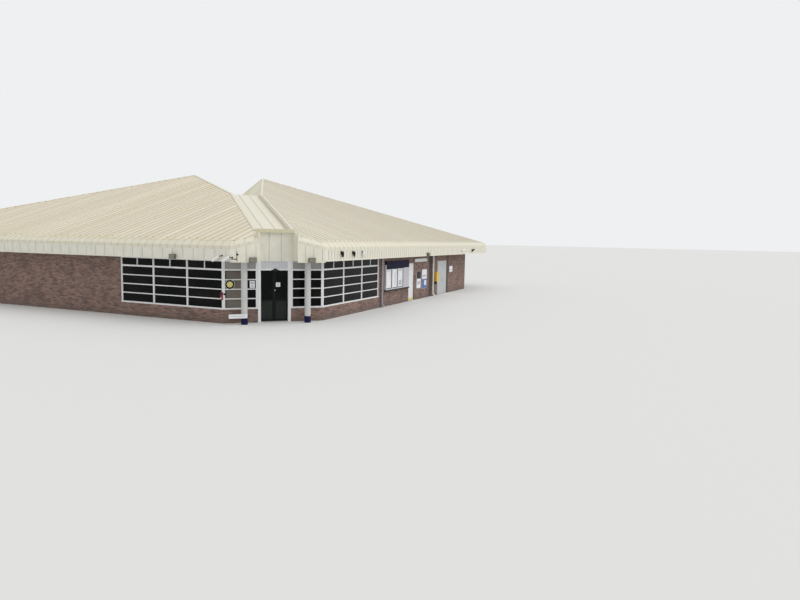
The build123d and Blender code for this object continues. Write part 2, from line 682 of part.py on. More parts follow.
def make_soffits():
    """Flat soffit between the walls and the fascias."""
    inner = HALF_ROOF - FASCIA_THICK
    top = SOFFIT_HEIGHT + SOFFIT_THICK
    side = block(-WALL_END, WALL_END, -inner, -HALF_WALL, SOFFIT_HEIGHT, top)
    sides = [Rot(0, 0, 90 * i) * side for i in range(4)]
    export(Compound(children=sides), "soffit_sides")

    b = SOFFIT_BEARING
    corner = [
        (WALL_END, -inner),
        (inner, -inner),
        (inner, -WALL_END),
        (HALF_WALL, -WALL_END),
        (HALF_WALL - b, b * MITRE - WALL_END),
        (WALL_END - b * MITRE, b - HALF_WALL),
        (WALL_END, -HALF_WALL),
    ]
    plain = prism(corner, SOFFIT_HEIGHT, top)
    front_u = CANOPY_U + FASCIA_THICK
    entrance = [
        (-WALL_END, -inner),
        (CANOPY_X + FASCIA_THICK * MITRE, -inner),
        diagonal(front_u, HALF_NOTCH),
        diagonal(ENTRANCE_U + b, HALF_NOTCH),
        diagonal(ENTRANCE_U + b, CORNER_LENGTH / 2 - b * MITRE),
        (-WALL_END, -HALF_WALL),
    ]
    half = prism(entrance, SOFFIT_HEIGHT, top)
    corners = [Rot(0, 0, 90 * i) * plain for i in range(3)]
    export(Compound(children=corners + [half, across_diagonal(half)]), "soffit_corners")


def make_eaves_beams():
    """Beams on the four long walls that carry the roof."""
    inner = WALL_THICK - HALF_WALL
    top = slope_height(inner) - ROOF_THICK
    section = [
        (-WALL_END, -HALF_WALL, SOFFIT_HEIGHT),
        (-WALL_END, inner, SOFFIT_HEIGHT),
        (-WALL_END, inner, top),
        (-WALL_END, -HALF_WALL, slope_height(-HALF_WALL) - ROOF_THICK),
    ]
    beam = extrude(make_face(Polyline(*section, close=True)), amount=WALL_LENGTH, dir=(1, 0, 0))
    t = WALL_THICK * MITRE
    outline = [(-WALL_END, -HALF_WALL), (WALL_END, -HALF_WALL), (WALL_END - t, inner), (t - WALL_END, inner)]
    beam = beam & prism(outline, SOFFIT_HEIGHT, top)
    export(Compound(children=[Rot(0, 0, 90 * i) * beam for i in range(4)]), "eaves_beams")


def make_fittings():
    """Notice case, downpipes and the box lights on the fascias."""
    case_end = CASE_AT + CASE_LENGTH
    case_top = CASE_BOTTOM + CASE_HEIGHT
    case = on_platform(CASE_AT, case_end, -CASE_DEPTH, 0, CASE_BOTTOM, case_top)
    pitch = (CASE_LENGTH - CASE_RIM) / CASE_PANELS
    for i in range(CASE_PANELS):
        d0 = CASE_AT + CASE_RIM + i * pitch
        d1 = d0 + pitch - CASE_RIM
        case -= on_platform(d0, d1, -CASE_DEPTH, CASE_BACK - CASE_DEPTH, CASE_BOTTOM + CASE_RIM,
                            case_top - CASE_HEADER)
    export(case, "notice_case")

    pipes = []
    radius = PIPE_DIAMETER / 2
    reach = PIPE_STANDOFF + radius
    for d in PIPE_POSITIONS:
        height = SOFFIT_HEIGHT - PIPE_FOOT
        x = d - WALL_END
        y = -HALF_WALL - reach
        pipe = Pos(x, y, PIPE_FOOT + height / 2) * Cylinder(radius, height)
        bend = Pos(x, y, PIPE_FOOT) * Rot(-SHOE_ANGLE, 0, 0)
        pipe += bend * Pos(0, 0, -SHOE_LENGTH / 2) * Cylinder(radius, SHOE_LENGTH)
        for z in PIPE_BRACKETS:
            pipe += on_platform(d - radius, d + radius, -reach, 0, z, z + BRACKET_HEIGHT)
        pipes.append(pipe)
    export(Compound(children=pipes), "downpipes")

    length, depth, height = LIGHT_SIZE
    bottom = SOFFIT_HEIGHT - ENTRANCE_FASCIA_DROP
    half = length / 2
    face = -ENTRANCE_OVERHANG - FASCIA_LIP_DEPTH
    lamps = []
    for s in CANOPY_LIGHT_OFFSETS:
        lamps.append(on_entrance(s - half, s + half, face - depth, face, bottom, bottom + height))
    top = SOFFIT_HEIGHT + height
    start = SIDE_LIGHT_AT - WALL_END
    lamps.append(block(-LIP_EDGE - depth, -LIP_EDGE, start, start + length, SOFFIT_HEIGHT, top))
    start = PLATFORM_LIGHT_AT - WALL_END
    lamps.append(block(start, start + length, -LIP_EDGE - depth, -LIP_EDGE, SOFFIT_HEIGHT, top))
    export(Compound(children=lamps), "fascia_lights")


os.makedirs("parts", exist_ok=True)
export(make_floor(), "floor_slab")
make_brick_walls()
make_dados()
make_screens()
make_portal()
make_columns()
make_entrance_doors()
make_service_doors()
make_slopes()
make_channel()
make_gable()
make_fascias()
make_soffits()
make_eaves_beams()
make_fittings()
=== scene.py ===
import bmesh
import bpy
import json
import math
from mathutils import Matrix, Vector


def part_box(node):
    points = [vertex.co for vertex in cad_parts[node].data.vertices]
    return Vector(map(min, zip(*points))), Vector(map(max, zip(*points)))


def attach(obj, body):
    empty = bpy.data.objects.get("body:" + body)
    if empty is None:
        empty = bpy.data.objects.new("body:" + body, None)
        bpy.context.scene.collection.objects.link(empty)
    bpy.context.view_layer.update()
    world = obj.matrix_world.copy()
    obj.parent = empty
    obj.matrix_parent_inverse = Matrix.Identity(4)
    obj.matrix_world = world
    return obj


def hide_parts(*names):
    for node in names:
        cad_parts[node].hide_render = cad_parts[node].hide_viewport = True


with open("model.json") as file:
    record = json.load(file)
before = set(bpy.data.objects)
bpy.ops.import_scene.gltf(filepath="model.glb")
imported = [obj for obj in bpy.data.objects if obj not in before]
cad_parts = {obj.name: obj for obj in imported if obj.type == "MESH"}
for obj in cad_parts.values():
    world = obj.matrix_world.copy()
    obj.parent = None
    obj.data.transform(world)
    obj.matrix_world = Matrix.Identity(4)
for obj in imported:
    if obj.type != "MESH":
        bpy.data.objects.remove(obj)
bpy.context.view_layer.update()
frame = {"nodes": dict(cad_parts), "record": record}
R2 = math.sqrt(2)

# Walls and eaves, in metres. A name in U is a place along the entrance diagonal, inwards.
FASCIA_THICKNESS = 0.05
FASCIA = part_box("soffit_sides")[1].y + FASCIA_THICKNESS
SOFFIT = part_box("soffit_sides")[0].z
WALL_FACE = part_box("far_wall")[1].x
WALL_END = -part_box("rear_wall")[0].x
ENTRANCE_U = -(WALL_FACE + WALL_END) / R2
CANOPY_REACH = 1.12
CANOPY_U = ENTRANCE_U - CANOPY_REACH
CANOPY_X = CANOPY_U * R2 + FASCIA
HALF_NOTCH = 0.89
LIP_TOP = 0.055
FASCIA_TOP = 3.37
WING_DROP = 0.06
WING_BOTTOM = SOFFIT - WING_DROP

# Roof
EAVE_TOP = 3.67
PITCH = 1 / 3
CRANK_DEPTH = 0.20
CRANK_DROP = 0.15
MITRE = math.tan(math.radians(22.5))
CHANNEL_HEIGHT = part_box("roof_channel_floor")[1].z
HALF_STRIP = 0.84
STRIP_DROP = 0.20
APEX = EAVE_TOP + FASCIA * PITCH
STRIP_PITCH = PITCH / R2
STRIP_FOOT = APEX + STRIP_PITCH * (ENTRANCE_U - HALF_STRIP) - STRIP_DROP
CHANNEL_U = HALF_STRIP - (APEX - CHANNEL_HEIGHT) / STRIP_PITCH
STRIP_HEAD_U = CHANNEL_U + STRIP_DROP / STRIP_PITCH
CHANNEL_END = FASCIA - (CHANNEL_HEIGHT - EAVE_TOP) / PITCH
PEAK = 1.675
GABLE_FACE = -0.05
GABLE_BOTTOM = 2.82
CAP_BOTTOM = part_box("entrance_cap")[0].z
CAPPING_LIFT = 0.03

# Ribs, seams and joints. A section is a half width at the foot, one at the crest, and a height.
RIB_PITCH = 0.435
RIB_FOOT = 0.028
RIB_CREST = 0.015
RIB_HEIGHT = 0.024
LOW_RIB_HEIGHT = RIB_HEIGHT / 2
LAP_BACK = 0.47
CLOSER = 0.014
SEAMS = (-0.79, -0.34, 0.25, 0.79)
SEAM = (0.012, 0.008, 0.022)
# Dark strip under each seam: painted shade beside it
SEAM_SHADE = (0.024, 0.020, 0.003)
SEAM_STRIP_LIFT = 0.0005
FASCIA_RIB_PITCH = 0.29
FASCIA_RIB = (0.045, 0.028, 0.018)
# Dark strip under each fascia rib: painted shade beside it
FASCIA_RIB_SHADE = (0.078, 0.076, 0.001)
FASCIA_RIB_START = CANOPY_X + 0.1
JOINT_PITCH = 0.60
JOINT_DEPTH = 0.006
HALF_JOINT = 0.007
WING_JOINTS = (-1.85, -1.43, -1.01, 1.19, 1.57, 1.97)
GABLE_JOINTS = (-0.26, 0.30)
HALF_GABLE_JOINT = 0.008

# Windows and doors
BAY_WIDTH = 2.04
BAY_COUNT = 3
POST = 0.09
BAR_HEIGHTS = (1.110, 1.547, 1.983)
BAR_HEIGHT = 0.048
BAR_DEPTHS = (0.022, 0.062)
TRANSOM_TOP = 2.469
HEAD_RAIL = 0.07
HEAD_BOTTOM = SOFFIT - HEAD_RAIL
PANE_EDGE = 0.85
PANE_END = 2.215
GLASS_FACE = 0.062
DOOR_GLASS_FACE = 0.1425
LEAF_FACE = 0.128
SERVICE_DOOR_FACE = 0.06
STORE_LEAF_STARTS = {"left": 16.108, "right": 17.104}
STORE_PULLS = {"left": 0.92, "right": 0.068}
STORE_RIB_COUNT = 8
STORE_RIB_START = 0.075
STORE_RIB_PITCH = 0.12
HALF_STORE_RIB = 0.03

# Blinds close before the glass at the left of the entrance, with front and back of a slat
BLIND_ENDS = (-2.165, -1.50)
BLIND_BOTTOM = 0.71
BLIND_TOP = 2.38
SLAT_PITCH = 0.028
SLAT_HEIGHT = SLAT_PITCH * 0.9
SLAT_FOOT = (GLASS_FACE - 0.009, GLASS_FACE - 0.006)
SLAT_HEAD = (GLASS_FACE - 0.001, GLASS_FACE)

# Notice case on the platform wall
CASE_FACE = -0.11
CASE_RECESS = -0.04
CASE_START = 7.03
CASE_LENGTH = 3.5
CASE_RIM = 0.06
CASE_PANELS = 4
CASE_PITCH = (CASE_LENGTH - CASE_RIM) / CASE_PANELS
POSTER_START = 0.01
POSTER_END = 0.07

# Lamps and their guards
HALF_LAMP = 0.155
LAMP_HEIGHT = 0.22
LAMP_DEPTH = 0.13
LAMP_BACK = -0.03
LAMP_RIM = 0.03
CANOPY_LAMPS = (-1.155, 1.465)
PLATFORM_LAMP = 12.195
FORECOURT_LAMP = 2.205
HALF_GUARD = 0.128
GUARD_DEPTHS = (-0.157, -0.149)
GUARD_START = 0.07
GUARD_PITCH = 0.035
GUARD_HEIGHT = 0.006
GUARD_COUNT = 3

# Cameras on brackets: their distances from the fascia and their radii
BULLET_OUT = 0.092
BULLET_RADIUS = 0.062
HOOD_RADIUS = 0.063
HOOD_LIFT = 0.012
HOOD_OVERHANG = 0.02
HOOD_START = 0.25
EYE_RADIUS = 0.040
EYE_DEPTH = 0.004
KNUCKLE_OUT = 0.06
ARM_RADIUS = 0.016
BRACKET_RADIUS = 0.022
DOME_OUT = 0.16
DOME_HANG = 0.24
CAMERA_SIDES = 28

# Cameras' names, tails, noses and brackets, each along the eave and up
FORECOURT_CAMERAS = (
    ("camera_forecourt_first", (-11.70, 3.06), (-11.34, 2.86), (-11.80, 3.09)),
    ("camera_forecourt_second", (-12.24, 3.05), (-11.90, 2.85), (-12.34, 3.02)),
)
PLATFORM_CAMERAS = (
    ("camera_platform_fourth", (8.72, 3.24), (8.18, 3.13), (8.84, 3.25), "camera_white"),
    ("camera_platform_fifth", (11.30, 3.22), (10.78, 3.10), (11.42, 3.22), "dark"),
)
# Names, places along the eave, tops, radii and materials
DOME_CAMERAS = (
    ("camera_platform_first", -10.74, 3.33, 0.065, "dark"),
    ("camera_platform_second", -9.56, 3.32, 0.060, "dark"),
    ("camera_platform_third", -8.52, 3.31, 0.072, "camera_white"),
)

# Round profiles: pairs of a share of the length and a share of the radius
STRAIGHT = ((0, 1), (1, 1))
SENSOR_DOME = ((0, 1), (0.45, 0.97), (0.75, 0.8), (0.93, 0.45), (1, 0.1))
CAMERA_DOME = ((0, 0.5), (0.15, 0.9), (0.25, 1), (0.6, 1), (0.62, 0.88), (0.8, 0.78), (0.93, 0.5), (1, 0.12))
BULLET = ((0, 0.55), (0.03, 0.85), (0.08, 1), (0.90, 1), (0.97, 0.93), (1, 0.86))
HOOD = ((0, 0.9), (0.05, 1), (1, 1))
BRACKET = ((0, 0.7), (0.6, 0.7), (0.7, 1.6), (1, 1.6))

# Areas of a board: material, then left, right, low and high as shares of its inside
WHOLE = (0, 1, 0, 1)
PAPER = ("paper", *WHOLE)
AREA_SINK = 0.008
AREA_STEP = 0.001
POSTERS = (
    [PAPER, ("lilac", 0.1, 0.9, 0.9, 0.95)],
    [PAPER, ("lilac", 0.52, 0.66, 0.08, 0.80)],
    [PAPER, ("paper_grey", 0.2, 0.8, 0.08, 0.36), ("lilac", 0.1, 0.9, 0.88, 0.94)],
)
# Notices on the platform wall: name, places along and up, and areas
WALL_NOTICES = (
    ("notice_first", (12.01, 12.77), (0.72, 1.87), [
        ("paper", 0, 1, 0, 0.55), ("dark", 0, 1, 0.55, 1), ("paper_grey", 0.15, 0.85, 0.2, 0.42)]),
    ("notice_second", (12.97, 13.86), (0.65, 1.94), [
        ("blue", 0, 1, 0, 0.5), ("paper", 0, 1, 0.5, 1), ("paper", 0.5, 0.92, 0.15, 0.42),
        ("paper_grey", 0.12, 0.88, 0.6, 0.72)]),
    ("notice_third", (18.64, 19.39), (1.52, 1.98), [
        PAPER, ("paper_grey", 0.1, 0.9, 0.3, 0.42)]),
)
# Discs of the round sign: material, front, back and radius
SIGN_DISCS = (
    ("paper", 0.012, 0.021, 0.222),
    ("dark", 0.007, 0.013, 0.208),
    ("yellow_pale", 0.003, 0.008, 0.132),
)

# Camera of the scene
CAMERA_PLACE = (-36.6, -29.4, 4.0)
CAMERA_YAW = 0.4050
CAMERA_PITCH = 0.1007
CAMERA_ROLL = 0.0200
CAMERA_LENS = 27.554
SENSOR_WIDTH = 36

# Light and stage
SKY_LIGHT = 0.80
SUN_LIGHT = 1.0
SUN_SPREAD = 50
SUN_FROM = (0.25, -0.75, 0.9)
BACKDROP = (0.86, 0.87, 0.88, 1)
STAGE_COLOUR = (0.72, 0.72, 0.71, 1)
STAGE_SIZE = 900

# Bricks and soffit boards
BRICK_LENGTH = 0.225
COURSE = 0.075
BRICK_JOINT = 0.006
BOARD_LENGTH = 2.4
BOARD_WIDTH = 0.20
BOARD_JOINT = 0.004
# Darker upright strips of the platform wall: from, to and strength
DARK_WALL_STRIPS = ((14.28, 14.86, 0.85), (17.99, 18.48, 0.50))
DARK_STRIP_EDGE = 0.03
FACE_DEPTH = 0.1

# Colours of weather on walls and roof, of darker wall strips, of painted shade beside the ribs and of painted
# light on the strip's edges
PALE_BRICK = (0.34, 0.255, 0.225)
STAINED_BRICK = (0.085, 0.062, 0.056)
DARK_STRIP_BRICK = (0.045, 0.04, 0.04)
SPLASHED_BRICK = (0.13, 0.105, 0.09)
RAIN_STREAK = (0.25, 0.23, 0.19)
PIPE_STREAK = (0.22, 0.21, 0.18)
RIB_SHADOW = (0.20, 0.18, 0.13)
EAVE_GROWTH = (0.56, 0.52, 0.28)
ALGAE = (0.50, 0.51, 0.27)
BLEACHED_SHEET = (0.72, 0.71, 0.67)
STRIP_SHEET = (0.76, 0.73, 0.61)
LIT_STRIP_EDGE = (0.92, 0.89, 0.80)
CAPPING = (0.78, 0.76, 0.67)

# Glass: colour in the dark and in the lighter patches
GLASS = {
    "window_glass": ((0.002, 0.0025, 0.003), (0.012, 0.011, 0.010)),
    "door_glass": ((0.002, 0.004, 0.004), (0.010, 0.010, 0.008)),
}
# Roof sheets: colour, warm tint, strength of algae and of the painted shade lines beside the ribs
ROOFS = {
    "roof_metal": ((0.76, 0.695, 0.55), (0.70, 0.60, 0.43), 0.04, 0.85),
    "roof_pale": ((0.73, 0.70, 0.625), (0.62, 0.575, 0.48), 0.05, 0),
    "roof_algae": ((0.68, 0.665, 0.50), (0.62, 0.61, 0.42), 0.35, 0),
}
# Paints: colour, roughness, strength of dirt, and gloss where it isn't the usual
PAINTS = {
    "fascia_metal": ((0.82, 0.79, 0.67), 0.45, 0.16),
    # Greyer copy of the fascia paint: painted shade on the forecourt and far fascias and the gable
    "fascia_shaded": ((0.79, 0.775, 0.68), 0.5, 0.22),
    # This dark paint serves real joints, and also the strips of painted shade under the seams and fascia ribs
    "joint": ((0.40, 0.39, 0.34), 0.6, 0.2),
    # Ribs painted darker than the sheets: painted shade along their sides
    "roof_rib": ((0.60, 0.555, 0.445), 0.55, 0.25),
    "crank_rib": ((0.66, 0.63, 0.51), 0.55, 0.2),
    "window_white": ((0.82, 0.825, 0.83), 0.4, 0.08),
    "cap_metal": ((0.66, 0.63, 0.45), 0.6, 0.30),
    "upper_panel_grey": ((0.37, 0.36, 0.34), 0.5, 0.12),
    "door_leaf_dark": ((0.007, 0.008, 0.008), 0.4, 0.02, 0.12),
    "staff_door_white": ((0.82, 0.82, 0.83), 0.4, 0.1),
    "store_door_grey": ((0.60, 0.62, 0.63), 0.45, 0.15),
    "door_frame_paint": ((0.74, 0.75, 0.75), 0.45, 0.1),
    "case_grey": ((0.60, 0.61, 0.63), 0.4, 0.1),
    "lamp_housing": ((0.14, 0.125, 0.095), 0.5, 0.2),
    "dark": ((0.010, 0.010, 0.011), 0.5, 0.02, 0.25),
    "navy": ((0.006, 0.007, 0.032), 0.6, 0.01, 0.12),
    "sign_grey": ((0.60, 0.61, 0.65), 0.5, 0.08),
    "blue": ((0.06, 0.14, 0.42), 0.5, 0.05),
    "paper": ((0.84, 0.85, 0.87), 0.6, 0.04),
    "paper_grey": ((0.50, 0.51, 0.54), 0.6, 0.05),
    "yellow": ((0.80, 0.49, 0.03), 0.5, 0.1),
    "yellow_pale": ((0.72, 0.67, 0.22), 0.6, 0.12),
    "lens": ((0.32, 0.305, 0.24), 0.4, 0.1),
    "kick": ((0.022, 0.026, 0.023), 0.5, 0.04, 0.12),
    "lilac": ((0.52, 0.51, 0.58), 0.5, 0.05),
    "red": ((0.23, 0.02, 0.03), 0.4, 0.08),
    "blind": ((0.19, 0.165, 0.14), 0.7, 0.1),
    "camera_white": ((0.86, 0.86, 0.85), 0.35, 0.06),
}
# The same for paints on round things
ROUND_PAINTS = {
    "column_paint": ((0.58, 0.58, 0.575), 0.4, 0.1),
    "column_base_blue": ((0.005, 0.007, 0.050), 0.6, 0.03, 0.2),
    "track_steel": ((0.5, 0.5, 0.5), 0.35, 0.1),
}
# Nodes that look different from the rest of their slot: real weathering, and the greyer fascia paint that is
# painted shade
WEATHERED_AND_SHADED = {
    "fascia_forecourt_and_far": "fascia_shaded",
    "entrance_gable": "fascia_shaded",
    "roof_entrance_strip": "roof_pale",
    "roof_channel_floor": "roof_pale",
    "roof_channel_cheeks": "roof_algae",
}


class Graph:
    """Node graph of one material."""

    def __init__(self, name, roughness, **settings):
        self.material = bpy.data.materials.new(name)
        self.material.use_nodes = True
        self.tree = self.material.node_tree
        self.tree.nodes.clear()
        self.shader = self.add("BsdfPrincipled", {"Roughness": roughness})
        for key, value in settings.items():
            self.shader.inputs[key.replace("_", " ")].default_value = value
        output = self.add("OutputMaterial")
        self.tree.links.new(self.shader.outputs[0], output.inputs["Surface"])

    def add(self, kind, inputs=None, **settings):
        """Add a node from values or sockets; a colour is three values."""
        node = self.tree.nodes.new("ShaderNode" + kind)
        for key, value in settings.items():
            setattr(node, key, value)
        for key, value in (inputs or {}).items():
            if isinstance(value, bpy.types.NodeSocket):
                self.tree.links.new(value, node.inputs[key])
            elif node.inputs[key].type == "RGBA":
                node.inputs[key].default_value = (*value, 1)
            else:
                node.inputs[key].default_value = value
        return node

    def calc(self, operation, a, b=0.0):
        """Result of a sum on values or sockets."""
        return self.add("Math", {0: a, 1: b}, operation=operation).outputs[0]

    def vector(self, operation, a, b):
        """Result of a sum on vectors."""
        node = self.add("VectorMath", {0: a, 1: b}, operation=operation)
        return node.outputs["Value" if operation == "DOT_PRODUCT" else "Vector"]

    def place(self):
        """Place on the building, in metres."""
        return self.add("TexCoord").outputs["Object"]

    def axes(self, vector):
        """The three values of a vector."""
        return self.add("SeparateXYZ", {0: vector}).outputs

    def surface(self):
        """Level and uphill distances on a wall or slope, or plain x and y on a flat face."""
        coordinates = self.add("TexCoord")
        place = coordinates.outputs["Object"]
        normal = coordinates.outputs["Normal"]
        sideways = self.vector("CROSS_PRODUCT", (0, 0, 1), normal)
        level = self.vector("NORMALIZE", sideways, (0, 0, 0))
        uphill = self.vector("CROSS_PRODUCT", normal, level)
        u = self.vector("DOT_PRODUCT", place, level)
        v = self.vector("DOT_PRODUCT", place, uphill)
        slanted = self.add("CombineXYZ", {0: u, 1: v}).outputs[0]
        flat = self.calc("GREATER_THAN", self.calc("ABSOLUTE", self.axes(normal)[2]), 0.98)
        return self.add("Mix", {0: flat, 4: slanted, 5: place}, data_type="VECTOR").outputs[1]

    def noise(self, vector, scale, detail=3.0, stretch=(1, 1, 1)):
        """Noise from 0 to 1."""
        scaled = self.vector("MULTIPLY", vector, stretch)
        return self.add("TexNoise", {"Vector": scaled, "Scale": scale, "Detail": detail}).outputs[0]

    def patches(self, vector, scale, low, high, detail=3.0, stretch=(1, 1, 1)):
        """Soft patches of noise, 0 below low and 1 above high."""
        return self.rises(self.noise(vector, scale, detail, stretch), low, high)

    def rises(self, value, low, high):
        """Smooth step from 0 at low to 1 at high."""
        node = self.add("MapRange", {0: value, 1: low, 2: high}, interpolation_type="SMOOTHSTEP")
        return node.outputs[0]

    def falls(self, value, low, high):
        """Smooth step from 1 at low to 0 at high."""
        return self.calc("SUBTRACT", 1.0, self.rises(value, low, high))

    def band(self, value, low, high, soft):
        """1 between low and high, with soft edges."""
        rise = self.rises(value, low - soft, low + soft)
        fall = self.rises(value, high - soft, high + soft)
        return self.calc("SUBTRACT", rise, fall)

    def mix(self, factor, a, b, strength=1.0):
        """Colour a where the factor is 0, turning to b as it rises."""
        if strength != 1.0:
            factor = self.calc("MULTIPLY", factor, strength)
        return self.add("Mix", {0: factor, 6: a, 7: b}, data_type="RGBA").outputs[2]

    def colour(self, value):
        """Set the colour of the surface."""
        self.tree.links.new(value, self.shader.inputs["Base Color"])

    def bump(self, height, distance, strength=1.0):
        """Set the relief of the surface."""
        node = self.add("Bump", {"Height": height, "Distance": distance, "Strength": strength})
        self.tree.links.new(node.outputs[0], self.shader.inputs["Normal"])


class Piece:
    """Mesh gathered from plain solids, in metres, in the building's own frame."""

    def __init__(self):
        self.mesh = bmesh.new()

    def rings(self, rings):
        """Closed solid through outlines that have as many points each."""
        loops = [[self.mesh.verts.new(point) for point in ring] for ring in rings]
        self.mesh.faces.new(loops[0][::-1])
        self.mesh.faces.new(loops[-1])
        for low, high in zip(loops, loops[1:]):
            for i in range(len(low)):
                j = (i + 1) % len(low)
                self.mesh.faces.new((low[i], low[j], high[j], high[i]))

    def block(self, place, along, into, up):
        """Block on a wall, from and to along it, into it and up."""
        corners = ((along[0], into[0]), (along[1], into[0]), (along[1], into[1]), (along[0], into[1]))
        self.rings([[place(a, e, z) for a, e in corners] for z in up])

    def lathe(self, start, end, radius, profile=STRAIGHT, sides=20):
        """Round solid along the line from start to end."""
        across = (end - start).orthogonal().normalized()
        other = (end - start).normalized().cross(across)
        rings = []
        for share, width in profile:
            ring = []
            for i in range(sides):
                turn = 2 * math.pi * i / sides
                spoke = math.cos(turn) * across + math.sin(turn) * other
                ring.append(start.lerp(end, share) + radius * width * spoke)
            rings.append(ring)
        self.rings(rings)

    def made(self, name, material, body="building", bevel=0.0):
        """Turn the gathered solids into one object that rides on a body."""
        bmesh.ops.recalc_face_normals(self.mesh, faces=self.mesh.faces)
        data = bpy.data.meshes.new(name)
        self.mesh.to_mesh(data)
        self.mesh.free()
        data.materials.append(MATERIALS[material])
        piece = bpy.data.objects.new(name, data)
        bpy.context.scene.collection.objects.link(piece)
        if bevel:
            modifier = piece.modifiers.new("edges", "BEVEL")
            modifier.width = bevel
            modifier.segments = 2
        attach(piece, body)


class Fitting:
    """Small fitting on one body, with a piece for each of its materials."""

    def __init__(self, name, body="building", bevel=0.0):
        self.name = name
        self.body = body
        self.bevel = bevel
        self.pieces = {}

    def of(self, material):
        """The fitting's piece in a material."""
        if material not in self.pieces:
            self.pieces[material] = Piece()
        return self.pieces[material]

    def block(self, material, place, along, into, up):
        """Add a block in a material."""
        self.of(material).block(place, along, into, up)

    def lathe(self, material, start, end, radius, **shape):
        """Add a round solid in a material."""
        self.of(material).lathe(start, end, radius, **shape)

    def made(self):
        """Turn the fitting into objects, by material."""
        for material, piece in self.pieces.items():
            piece.made(f"{self.name}_{material}", material, self.body, self.bevel)


def diagonal(u, s, z):
    """Point from u, inwards along the entrance diagonal, s across it and its height."""
    return Vector(((u + s) / R2, (u - s) / R2, z))


def platform(d, e, z):
    """Point on the platform wall, d from its entrance end and e into it."""
    return Vector((d - WALL_END, e - WALL_FACE, z))


def forecourt(d, e, z):
    """Point on the forecourt wall, d from its entrance end and e into it."""
    return Vector((e - WALL_FACE, d - WALL_END, z))


def rear(d, e, z):
    """Point on the wall opposite the platform's."""
    return Vector((WALL_END - d, WALL_FACE - e, z))


def far(d, e, z):
    """Point on the wall opposite the forecourt's."""
    return Vector((WALL_FACE - e, WALL_END - d, z))


def entrance(s, e, z):
    """Point on the entrance face, s from its middle and e into it."""
    return diagonal(ENTRANCE_U + e, s, z)


def platform_eave(x, e, z):
    """Point on the platform fascia."""
    return Vector((x, e - FASCIA, z))


def forecourt_eave(y, e, z):
    """Point on the forecourt fascia."""
    return Vector((e - FASCIA, y, z))


def canopy(s, e, z):
    """Point on the fascia of the canopy's wings."""
    return diagonal(CANOPY_U + e, s, z)


def layer(face, thickness):
    """Depths of a layer on a face."""
    return (face - thickness, face)


def around(middle, half):
    """From and to of a width, by its middle."""
    return (middle - half, middle + half)


def shade(colour, share):
    """Lighter or darker version of a colour."""
    return tuple(share * c for c in colour)


def brick_material():
    """Pink-brown facing brick with pale joints, darker upright strips and a splashed foot."""
    g = Graph("brick", 0.88)
    where = g.surface()
    bricks = g.add("TexBrick", {
        "Vector": where, "Color1": (0.32, 0.195, 0.155), "Color2": (0.120, 0.070, 0.058),
        "Mortar": (0.27, 0.22, 0.19), "Scale": 1.0, "Mortar Size": BRICK_JOINT, "Mortar Smooth": 0.3,
        "Bias": 0.0, "Brick Width": BRICK_LENGTH, "Row Height": COURSE,
    })
    bright = g.patches(where, 3.2, 0.45, 0.65, stretch=(0.5, 2.2, 1))
    colour = g.mix(bright, bricks.outputs["Color"], PALE_BRICK, 0.35)
    stain = g.patches(where, 1.3, 0.42, 0.68, detail=4.0, stretch=(1, 0.6, 1))
    colour = g.mix(stain, colour, STAINED_BRICK, 0.36)
    x, y, z = g.axes(g.place())
    on_platform = g.calc("LESS_THAN", y, FACE_DEPTH - WALL_FACE)
    for start, end, strength in DARK_WALL_STRIPS:
        strip = g.band(x, start - WALL_END, end - WALL_END, DARK_STRIP_EDGE)
        colour = g.mix(g.calc("MULTIPLY", on_platform, strip), colour, DARK_STRIP_BRICK, strength)
    g.colour(g.mix(g.falls(z, 0.05, 0.42), colour, SPLASHED_BRICK, 0.45))
    grain = g.calc("MULTIPLY", g.noise(where, 60.0), 0.3)
    g.bump(g.calc("SUBTRACT", grain, bricks.outputs["Fac"]), 0.006)
    return g.material


def paint_material(name, colour, roughness, dirt, gloss=0.5, walls=True):
    """Painted or coated surface with soft mottling and rain streaks."""
    g = Graph(name, roughness, Specular_IOR_Level=gloss)
    where = g.surface() if walls else g.place()
    mottle = g.patches(where, 2.3, 0.3, 0.7, detail=4.0)
    base = g.mix(mottle, colour, shade(colour, 0.93))
    streak = g.patches(where, 5.0, 0.52, 0.8, stretch=(1, 0.12, 1) if walls else (1, 1, 0.12))
    g.colour(g.mix(streak, base, RAIN_STREAK, dirt))
    g.bump(g.noise(where, 90.0), 0.0008)
    return g.material


def pipe_material():
    """Downpipes, grey on the near one and white on the far one."""
    g = Graph("pipe_grey", 0.5)
    where = g.place()
    beyond_middle = g.rises(g.axes(where)[0], -0.5, 0.5)
    base = g.mix(beyond_middle, (0.34, 0.35, 0.36), (0.80, 0.80, 0.79))
    streak = g.patches(where, 4.0, 0.5, 0.8, stretch=(1, 1, 0.15))
    g.colour(g.mix(streak, base, PIPE_STREAK, 0.3))
    g.bump(g.noise(where, 60.0), 0.0008)
    return g.material


def sheet_tones(g, where, sheet, tint, line):
    """Tone of each sheet with warm patches up the slope, and dark lines of painted shade beside the ribs."""
    across = g.calc("DIVIDE", g.axes(where)[0], RIB_PITCH)
    tone = g.add("TexWhiteNoise", {"W": g.calc("FLOOR", across)}, noise_dimensions="1D").outputs[0]
    colour = g.mix(tone, shade(sheet, 1.04), shade(sheet, 0.90))
    warm = g.patches(where, 1.0, 0.42, 0.62, detail=2.0, stretch=(1.2, 0.10, 1))
    colour = g.mix(warm, colour, tint, 0.60)
    # Painted shade: dark lines along each rib, where its sides would shade the sheet
    if line:
        centred = g.calc("FRACT", g.calc("ADD", across, 0.5))
        from_rib = g.calc("ABSOLUTE", g.calc("SUBTRACT", centred, 0.5))
        colour = g.mix(g.falls(from_rib, 0.10, 0.12), colour, RIB_SHADOW, line)
    return colour


